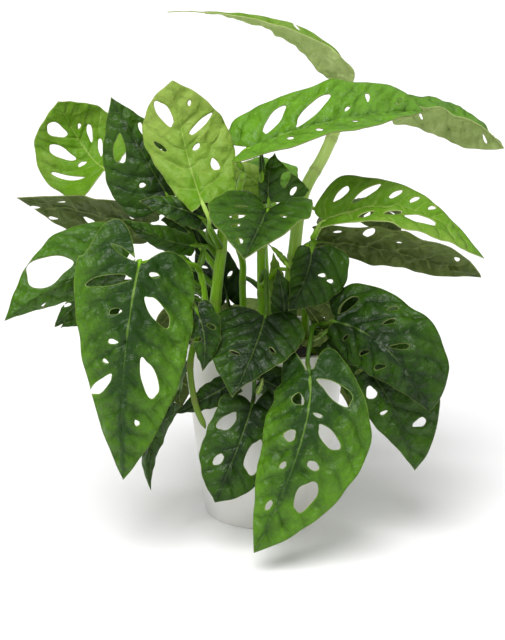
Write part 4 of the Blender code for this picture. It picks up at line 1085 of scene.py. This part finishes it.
class Tubes:
    """Collects closed tubes as one mesh with skin data along them."""

    def __init__(self):
        self.points, self.faces, self.skins, self.cork, self.young = [], [], [], [], []

    def tube(self, path, radius, sides, cork, young, groove=0.0):
        """A tube of the given radius at each path point; a groove flattens its upper side."""
        count = len(path)
        heading = unit(np.gradient(path, axis=0))
        run = run_along(path)
        across = Vector(heading[0]).orthogonal().normalized()
        if groove and abs(heading[0][2]) < STEEP:
            across = Vector((0, 0, 1))
        first = len(self.points)
        for i in range(count):
            turn = Vector(heading[i])
            across = (across - turn * across.dot(turn)).normalized()
            side = turn.cross(across)
            for n in range(sides):
                a = 2 * math.pi * n / sides
                out = radius[i] * (1 - groove * max(0.0, math.cos(a)) ** 3)
                spot = Vector(path[i]) + (across * math.cos(a) + side * math.sin(a)) * out
                self.points.append(spot * MM)
                self.cork.append(cork[i])
                self.young.append(young[0] + (young[1] - young[0]) * i / (count - 1))
        for i in range(count - 1):
            low, high = first + i * sides, first + (i + 1) * sides
            for n in range(sides):
                m = (n + 1) % sides
                self.faces.append((low + n, low + m, high + m, high + n))
                u, v = n / sides, (n + 1) / sides
                a, b = run[i] / MAP_UNIT, run[i + 1] / MAP_UNIT
                self.skins += [(u, a), (v, a), (v, b), (u, b)]
        for base, end, order in ((first, 0, -1), (first + (count - 1) * sides, -1, 1)):
            self.faces.append(tuple(range(base, base + sides))[::order])
            self.skins += [(0.5, run[end] / MAP_UNIT)] * sides

    def finish(self, name, surface):
        """The collected tubes as one smooth object."""
        mesh = bpy.data.meshes.new(name)
        mesh.from_pydata(self.points, [], self.faces)
        mesh.polygons.foreach_set("use_smooth", np.ones(len(mesh.polygons), bool))
        store_map(mesh, "skin", self.skins)
        store_points(mesh, cork=self.cork, young=self.young)
        mesh.update()
        return link_mesh(name, mesh, [surface])


def rounded(radius, head):
    """The radius at each ring, with the foot and the top drawn in to blunt domes."""
    radius = np.array(radius, float)
    for n in range(FOOT_RINGS):
        radius[n] *= math.sin(math.pi / 2 * (n + DOME_START) / FOOT_RINGS)
    for n in range(head):
        radius[-1 - n] *= math.sin(math.pi / 2 * (n + DOME_START) / head)
    return radius


def stem_radius(path, radius, seed):
    """A stem's radius along its path, swollen at its nodes, and where it is corky."""
    run = run_along(path)
    size = radius[0] + (radius[1] - radius[0]) * run / run[-1]
    node = np.zeros(len(path))
    for n in range(1, int(run[-1] / NODE_GAP) + 2):
        spot = n * NODE_GAP - NODE_BACK + NODE_SHIFT * math.sin(seed + 2.3 * n)
        node = np.maximum(node, np.exp(-((run - spot) / NODE_REACH) ** 2))
    low = np.clip((SOIL_TOP + CORK_HEIGHT - path[:, 2]) / CORK_HEIGHT, 0.0, 1.0)
    cork = np.clip(NODE_CORK * node + FOOT_CORK * low, 0.0, 1.0)
    return size * (1 + NODE_SWELL * node), cork


def grow_vine(name, vine, sides, surface, seed):
    """A rooted stem with its nodes, and its leaf stalks with their sheaths."""
    tubes = Tubes()
    path = smooth_line(vine.path, STEM_STEP)
    size, cork = stem_radius(path, vine.radius, seed)
    tubes.tube(path, rounded(size, TOP_RINGS), sides, cork, vine.tone)
    spots = path[path[:, 2] > SOIL_TOP + SOIL_CROWN + BRANCH_HEIGHT]
    for leaf, via in vine.stalks.items():
        blade = LEAVES.get(leaf) or SPRIGS[leaf]
        bend, foot, end = blade.neck()
        ahead = np.array(via[0] if via else bend, float)
        cost = np.linalg.norm(spots - ahead, axis=1) + BRANCH_RISE * spots[:, 2]
        start = spots[int(np.argmin(cost))]
        line = smooth_line([start, *via, bend, foot, end], STEM_STEP)
        share = np.linspace(0.0, 1.0, len(line))
        length = (len(line) - 1) * STEM_STEP
        left = (1 - share) * length
        knee = np.exp(-((left - KNEE_PLACE) / KNEE_REACH) ** 2)
        sheath = np.clip(1 - share * length / SHEATH_LENGTH, 0.0, 1.0)
        girth = STALK_RADIUS[0] + (STALK_RADIUS[1] - STALK_RADIUS[0]) * share
        girth *= 1 + KNEE_SWELL * knee + SHEATH_SWELL * sheath
        girth -= END_THIN * np.clip(1 - left / KNEE_REACH, 0.0, 1.0)
        scar = np.exp(-((sheath - SCAR_PLACE) / SCAR_REACH) ** 2)
        cork = KNEE_CORK * knee + SCAR_CORK * scar
        # Lower stalks are darkened as painted shade under the leaves.
        light = min(1.0, max(LIGHT_LEAST, (bend.z - SOIL_TOP) / LIGHT_HEIGHT))
        tone = [light * part for part in STALK_TONES[blade.look[0]]]
        girth = rounded(girth, STALK_TOP_RINGS)
        tubes.tube(line, girth, max(10, sides - 6), cork, tone, STALK_GROOVE)
    settle(tubes.finish("stem_" + name[5:], surface), name)


def only(item):
    """Make the item the one that is selected and active."""
    deselect()
    item.select_set(True)
    bpy.context.view_layer.objects.active = item


def select_faces(item, test):
    """Edit the item with only the faces selected that pass the test."""
    only(item)
    bpy.ops.object.mode_set(mode="EDIT")
    bpy.ops.mesh.select_mode(type="FACE")
    bpy.ops.mesh.select_all(action="DESELECT")
    bpy.ops.object.mode_set(mode="OBJECT")
    for face in item.data.polygons:
        face.select = test(face)
    bpy.ops.object.mode_set(mode="EDIT")


def round_edges(item, width, segments, angle):
    """Round the item's edges that turn by more than an angle in degrees."""
    bevel = item.modifiers.new("rounding", "BEVEL")
    bevel.width = width
    bevel.segments = segments
    bevel.angle_limit = math.radians(angle)
    only(item)
    bpy.ops.object.modifier_apply(modifier=bevel.name)


def planter(settings, surface):
    """The tapered pot, from a cylinder: inset, hollowed, tapered and its edges rounded."""
    deselect()
    bpy.ops.mesh.primitive_cylinder_add(
        vertices=settings.sides, radius=POT_RIM_RADIUS * MM, depth=POT_HEIGHT * MM,
        location=(0, 0, POT_HEIGHT / 2 * MM))
    made = bpy.context.object
    made.name = made.data.name = "planter"
    bpy.ops.object.transform_apply(location=True, rotation=True, scale=True)
    select_faces(made, lambda f: f.normal.z > 0.9)
    bpy.ops.mesh.inset(thickness=POT_WALL * MM)
    bpy.ops.mesh.extrude_region_move(
        TRANSFORM_OT_translate={"value": (0, 0, (SOIL_TOP - POT_WELL - POT_HEIGHT) * MM)})
    bpy.ops.object.mode_set(mode="OBJECT")
    for corner in made.data.vertices:
        share = corner.co.z / (POT_HEIGHT * MM)
        outer = POT_FOOT_RADIUS + (POT_RIM_RADIUS - POT_FOOT_RADIUS) * share
        wall = corner.co.xy.length < (POT_RIM_RADIUS - POT_WALL / 2) * MM
        corner.co.xy = corner.co.xy.normalized() * (outer - POT_WALL * wall) * MM
    round_edges(made, settings.rim_round, segments=5, angle=40)
    bpy.ops.object.shade_smooth_by_angle(angle=math.radians(35))
    made.data.materials.append(surface)
    settle(made, "pot")


def compost_height(x, y):
    """The height of the soil's top over a place, in millimetres."""
    reach = min(1.0, math.hypot(x, y) / (POT_RIM_RADIUS - SOIL_PLAY))
    lumps = sum(size * float(ripple(x * close, y * close, seed)) for size, close, seed in SOIL_LUMPS)
    return SOIL_TOP + SOIL_CROWN * (1 - reach ** 2) + lumps - SOIL_SINK


def compost(surface):
    """The soil plug: a grid rounded to a disc, roughened, and drawn down into the pot."""
    radius = POT_RIM_RADIUS - SOIL_PLAY - SOIL_EDGE
    deselect()
    bpy.ops.mesh.primitive_grid_add(
        x_subdivisions=SOIL_GRID, y_subdivisions=SOIL_GRID, size=2 * radius * MM,
        location=(0, 0, 0))
    made = bpy.context.object
    made.name = made.data.name = "compost"
    for corner in made.data.vertices:
        x, y = corner.co.x / MM, corner.co.y / MM
        widest = max(abs(x), abs(y))
        round_in = widest / math.hypot(x, y) if widest else 1.0
        x, y = x * round_in, y * round_in
        corner.co = Vector((x, y, compost_height(x, y))) * MM
    bpy.ops.object.mode_set(mode="EDIT")
    bpy.ops.mesh.select_mode(type="EDGE")
    bpy.ops.mesh.select_all(action="SELECT")
    bpy.ops.mesh.region_to_loop()
    bpy.ops.mesh.extrude_region_move(TRANSFORM_OT_translate={"value": (0, 0, -SOIL_DEPTH * MM)})
    shrink = (POT_FOOT_RADIUS - POT_WALL) / radius
    bpy.ops.transform.resize(value=(shrink, shrink, 1), center_override=(0, 0, 0))
    bpy.ops.mesh.edge_face_add()
    bpy.ops.object.mode_set(mode="OBJECT")
    bpy.ops.object.shade_smooth_by_angle(angle=math.radians(60))
    made.data.materials.append(surface)
    settle(made, "soil")


def litter(settings, surface):
    """Bark chips, twigs and crumbs that lie on the soil, joined as one piece."""
    draw = random.Random(LITTER_SEED)
    reach = POT_RIM_RADIUS - SOIL_PLAY - LITTER_INSET

    def seat(size, sink):
        spread, angle = reach * math.sqrt(draw.random()), draw.uniform(0, 2 * math.pi)
        x, y = spread * math.cos(angle), spread * math.sin(angle)
        turn = Matrix.Rotation(draw.uniform(0, 2 * math.pi), 4, "Z")
        tilt = Matrix.Rotation(draw.uniform(-LITTER_TILT, LITTER_TILT), 4, "X")
        scale = Matrix.Diagonal((*size, 1.0))
        lift = Matrix.Translation(Vector((x, y, compost_height(x, y) - sink)) * MM)
        return lift @ turn @ tilt @ scale

    def stock(add, jag, **shape):
        deselect()
        add(location=(0, 0, 0), **shape)
        item = bpy.context.object
        for corner in item.data.vertices:
            corner.co *= 1 + jag * draw.uniform(-1, 1)
        mesh = item.data
        bpy.data.objects.remove(item)
        return mesh

    chip = stock(bpy.ops.mesh.primitive_cube_add, jag=0.25, size=1)
    twig = stock(bpy.ops.mesh.primitive_cylinder_add, jag=0.12, vertices=7, radius=0.5, depth=1)
    crumb = stock(bpy.ops.mesh.primitive_ico_sphere_add, jag=0.3, subdivisions=1, radius=0.5)
    twig.transform(Matrix.Rotation(math.pi / 2, 4, "Y"))
    gathered = bmesh.new()
    for mesh, (kind, (least, most, sink)) in zip((chip, twig, crumb), LITTER.items()):
        for _ in range(getattr(settings, kind)):
            size = [draw.uniform(a, b) * MM for a, b in zip(least, most)]
            first = len(gathered.verts)
            gathered.from_mesh(mesh)
            gathered.verts.ensure_lookup_table()
            where = seat(size, sink)
            for corner in gathered.verts[first:]:
                corner.co = where @ corner.co
        bpy.data.meshes.remove(mesh)
    mesh = bpy.data.meshes.new("bark_litter")
    gathered.to_mesh(mesh)
    gathered.free()
    made = link_mesh("bark_litter", mesh, [surface])
    round_edges(made, 0.25 * MM, segments=1, angle=30)
    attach(made, "root")


def soft_light(name, source, power, spread):
    """A soft light that comes from a direction, as from a large studio box."""
    data = bpy.data.lights.new(name, "SUN")
    data.energy = power
    data.angle = math.radians(spread)
    lamp = bpy.data.objects.new(name, data)
    bpy.context.scene.collection.objects.link(lamp)
    lamp.rotation_euler = Vector(source).to_track_quat("Z", "Y").to_euler()


def studio(settings):
    """The pale floor, the bright surround, the soft lights and the camera."""
    scene = bpy.context.scene
    deselect()
    bpy.ops.mesh.primitive_plane_add(size=FLOOR_SIZE, location=(0, 0, 0))
    floor = bpy.context.object
    floor.name = floor.data.name = "studio_floor"
    surface, _, _ = plain_material(
        "studio_floor", settings.floor_colour, roughness=0.9, specular=0.1)
    floor.data.materials.append(surface)
    world = bpy.data.worlds.new("surround")
    world.use_nodes = True
    back = world.node_tree.nodes["Background"]
    back.inputs["Color"].default_value = (1, 1, 1, 1)
    back.inputs["Strength"].default_value = settings.surround
    scene.world = world
    scene.view_settings.view_transform = "Standard"
    soft_light("key_light", settings.key_from, settings.key, KEY_SPREAD)
    soft_light("fill_light", settings.fill_from, settings.fill, FILL_SPREAD)

    data = bpy.data.cameras.new("camera")
    data.lens, data.sensor_width = settings.lens, SENSOR_WIDTH
    data.clip_start, data.clip_end = 0.05, 100.0
    camera = bpy.data.objects.new("camera", data)
    scene.collection.objects.link(camera)
    back_off = Vector((0, -math.cos(settings.elevation), math.sin(settings.elevation)))
    target = Vector((settings.aim_x, 0, settings.aim_z))
    camera.location = target + back_off * settings.distance
    camera.rotation_euler = (-back_off).to_track_quat("-Z", "Y").to_euler()
    scene.camera = camera


def size_property(name, description, default, **extra):
    return bpy.props.FloatProperty(
        name=name, description=description, default=default, unit="LENGTH", precision=5, **extra)


def share_property(name, description, default, **extra):
    return bpy.props.FloatProperty(name=name, description=description, default=default, **extra)


def colour_property(name, description, default):
    return bpy.props.FloatVectorProperty(
        name=name, description=description, default=default, subtype="COLOR", size=3,
        min=0.0, max=1.0, precision=4)


def count_property(name, description, default, least):
    return bpy.props.IntProperty(name=name, description=description, default=default, min=least)


def direction_property(name, description, default):
    return bpy.props.FloatVectorProperty(
        name=name, description=description, default=default, subtype="DIRECTION")


class BladeSettings(bpy.types.PropertyGroup):
    """Sizes and colours of the leaf blades."""

    grain: size_property("Grain", "Spacing of a blade's mesh", 0.0024, min=0.001)
    thickness: size_property("Thickness", "Thickness of the sheet", 0.0006, min=0.0002)
    quilt: size_property("Quilting", "Height of the bulges between the side veins", 0.0032)
    relief: size_property("Relief", "Depth of the fine relief", 0.0013)
    frill: size_property("Frill", "Height of the waves along the margin", 0.0024)
    groove: size_property("Groove", "Depth of the groove over the midrib", 0.0010)
    rib: size_property("Midrib", "How far the midrib stands out behind at its foot", 0.0013)
    dark_deep: colour_property("Dark, deep", "Old leaves, along the veins", (0.006, 0.024, 0.001))
    dark_bright: colour_property("Dark, bright", "Old leaves, between them", (0.066, 0.185, 0.004))
    mid_deep: colour_property("Grown, deep", "Grown leaves, along the veins", (0.014, 0.050, 0.003))
    mid_bright: colour_property("Grown, bright", "Grown leaves, between them", (0.160, 0.390, 0.014))
    light_deep: colour_property("Young, deep", "Young leaves, along the veins", (0.110, 0.260, 0.005))
    light_bright: colour_property("Young, bright", "Young leaves, between them", (0.380, 0.500, 0.100))
    dull_deep: colour_property("Back, deep", "Underside of old leaves", (0.042, 0.072, 0.008))
    dull_bright: colour_property("Back, bright", "Underside of old leaves", (0.170, 0.245, 0.045))
    # The pale underside colours are partly the underside's own paler green and partly painted light
    # shining through the thin blade.
    pale_deep: colour_property("Pale back, deep", "Underside of young leaves", (0.200, 0.330, 0.050))
    pale_bright: colour_property("Pale back, bright", "Underside of young ones", (0.580, 0.700, 0.270))
    vein_colour: colour_property("Veins", "Midrib and side veins", (0.330, 0.450, 0.110))
    rim_colour: colour_property("Rims", "Thin rim of blades and holes", (0.260, 0.260, 0.100))


class StemSettings(bpy.types.PropertyGroup):
    """Sizes and colours of the stems and stalks."""

    stem_sides: count_property("Sides", "Sides of a stem's mesh", 18, 8)
    stem_deep: colour_property("Stem, deep", "Old stalks and dark streaks", (0.026, 0.080, 0.004))
    stem_bright: colour_property("Stem, bright", "Grown stems", (0.215, 0.480, 0.003))
    stem_pale: colour_property("Stem, pale", "Young stems", (0.600, 0.780, 0.230))
    cork_colour: colour_property("Cork", "Leaf scars and stem foot", (0.190, 0.150, 0.070))


class SoilSettings(bpy.types.PropertyGroup):
    """Counts and colours of the soil and of what lies on it."""

    chips: count_property("Chips", "Bark chips", 90, 0)
    twigs: count_property("Twigs", "Small twigs", 26, 0)
    crumbs: count_property("Crumbs", "Soil crumbs", 420, 0)
    soil_deep: colour_property("Soil, deep", "Moist soil", (0.010, 0.009, 0.010))
    soil_bright: colour_property("Soil, bright", "Drier soil", (0.060, 0.045, 0.035))
    bark_deep: colour_property("Bark, deep", "Wet bark", (0.035, 0.022, 0.014))
    bark_bright: colour_property("Bark, bright", "Dry bark", (0.200, 0.130, 0.075))


class PlanterSettings(bpy.types.PropertyGroup):
    """Finish of the planter."""

    sides: count_property("Sides", "Sides of the pot", 144, 24)
    rim_round: size_property("Rounding", "Rounding of rim and foot", 0.0012, min=0.0002)
    glaze_colour: colour_property("Glaze", "White glaze", (0.80, 0.80, 0.78))
    glaze_gloss: share_property("Roughness", "Roughness of the glaze", 0.38, min=0.0, max=1.0)


class StudioSettings(bpy.types.PropertyGroup):
    """The camera, the lights and the floor."""

    lens: share_property("Lens", "Focal length in millimetres", 85.0, min=10.0)
    distance: size_property("Distance", "From the camera to its target", 1.36, min=0.1)
    elevation: bpy.props.FloatProperty(
        name="Elevation", description="Camera's height over the plant", subtype="ANGLE",
        default=math.radians(16.0))
    aim_x: size_property("Aim X", "Target, to the right", -0.011)
    aim_z: size_property("Aim Z", "Target, height", 0.18)
    surround: share_property("Surround", "Strength of the white surround", 0.27, min=0.0)
    key: share_property("Key", "Power of the key light", 2.95, min=0.0)
    key_from: direction_property(
        "Key from", "Where the key light comes from", (-0.35, -0.75, 1.25))
    fill: share_property("Fill", "Power of the light from behind and above", 0.9, min=0.0)
    fill_from: direction_property("Fill from", "Where that light comes from", (0.5, 0.3, 1.3))
    floor_colour: colour_property("Floor", "Pale floor", (0.92, 0.92, 0.92))


def grow_blade(name, blade, settings, seed):
    """One blade, with its finishes above and below."""
    mesh = blade_mesh(name, blade, settings, seed)
    upper, _, _, under, _, _ = blade.look
    finishes = [bpy.data.materials["veined_leaf_" + tone] for tone in (upper, under)]
    return link_mesh(name, mesh, finishes)


class VINE_OT_grow_blades(bpy.types.Operator):
    """Grow the veined leaf blades in place of the plain ones"""

    bl_idname = "vine.grow_blades"
    bl_label = "Grow blades"

    def execute(self, context):
        settings = context.scene.vine_blades
        leaf_materials(settings)
        for n, (name, blade) in enumerate(LEAVES.items()):
            settle(grow_blade("blade" + name[4:], blade, settings, n * SEED_STEP), name)
        return {"FINISHED"}


class VINE_OT_grow_sprigs(bpy.types.Operator):
    """Grow the small blades and sheaths that sit among the stems"""

    bl_idname = "vine.grow_sprigs"
    bl_label = "Grow sprigs"

    def execute(self, context):
        settings = context.scene.vine_blades
        for n, (name, blade) in enumerate(SPRIGS.items()):
            seed = SPRIG_SEED + n * SEED_STEP
            piece = grow_blade("sprig_" + name, blade, settings, seed)
            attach(piece, "root")
        return {"FINISHED"}


class VINE_OT_grow_stems(bpy.types.Operator):
    """Grow the rooted stems with their nodes, sheaths and leaf stalks"""

    bl_idname = "vine.grow_stems"
    bl_label = "Grow stems"

    def execute(self, context):
        settings = context.scene.vine_stems
        surface = stem_material(settings)
        for seed, (name, vine) in enumerate(VINES.items()):
            grow_vine(name, vine, settings.stem_sides, surface, seed)
        return {"FINISHED"}


class VINE_OT_fill_soil(bpy.types.Operator):
    """Fill the planter with compost and scatter bark, twigs and crumbs on it"""

    bl_idname = "vine.fill_soil"
    bl_label = "Fill soil"

    def execute(self, context):
        settings = context.scene.vine_soil
        compost(soil_material(settings))
        litter(settings, bark_material(settings))
        return {"FINISHED"}


class VINE_OT_make_planter(bpy.types.Operator):
    """Make the tapered white planter"""

    bl_idname = "vine.make_planter"
    bl_label = "Make planter"

    def execute(self, context):
        settings = context.scene.vine_planter
        planter(settings, glaze_material(settings))
        return {"FINISHED"}


class VINE_OT_set_stage(bpy.types.Operator):
    """Set up the floor, the lights and the camera"""

    bl_idname = "vine.set_stage"
    bl_label = "Set stage"

    def execute(self, context):
        studio(context.scene.vine_studio)
        return {"FINISHED"}


OPERATORS = (VINE_OT_set_stage, VINE_OT_make_planter, VINE_OT_fill_soil, VINE_OT_grow_stems,
             VINE_OT_grow_blades, VINE_OT_grow_sprigs)
SETTINGS = {
    "vine_blades": BladeSettings, "vine_stems": StemSettings, "vine_soil": SoilSettings,
    "vine_planter": PlanterSettings, "vine_studio": StudioSettings}


class VINE_PT_panel(bpy.types.Panel):
    """Settings and buttons of the potted vine"""

    bl_idname = "VINE_PT_panel"
    bl_label = "Swiss cheese vine"
    bl_space_type = "VIEW_3D"
    bl_region_type = "UI"
    bl_category = "Vine"

    def draw(self, context):
        layout = self.layout
        for operator in OPERATORS:
            layout.operator(operator.bl_idname)
        for label, group in SETTINGS.items():
            box = layout.box()
            box.label(text=group.__name__)
            for key in group.__annotations__:
                box.prop(getattr(context.scene, label), key)


CLASSES = (*SETTINGS.values(), *OPERATORS, VINE_PT_panel)


def register():
    for kind in CLASSES:
        bpy.utils.register_class(kind)
    for label, group in SETTINGS.items():
        setattr(bpy.types.Scene, label, bpy.props.PointerProperty(type=group))


def unregister():
    for label in SETTINGS:
        delattr(bpy.types.Scene, label)
    for kind in reversed(CLASSES):
        bpy.utils.unregister_class(kind)


def main():
    register()
    bpy.ops.vine.set_stage()
    bpy.ops.vine.make_planter()
    bpy.ops.vine.fill_soil()
    bpy.ops.vine.grow_stems()
    bpy.ops.vine.grow_blades()
    bpy.ops.vine.grow_sprigs()


if __name__ == "__main__":
    main()
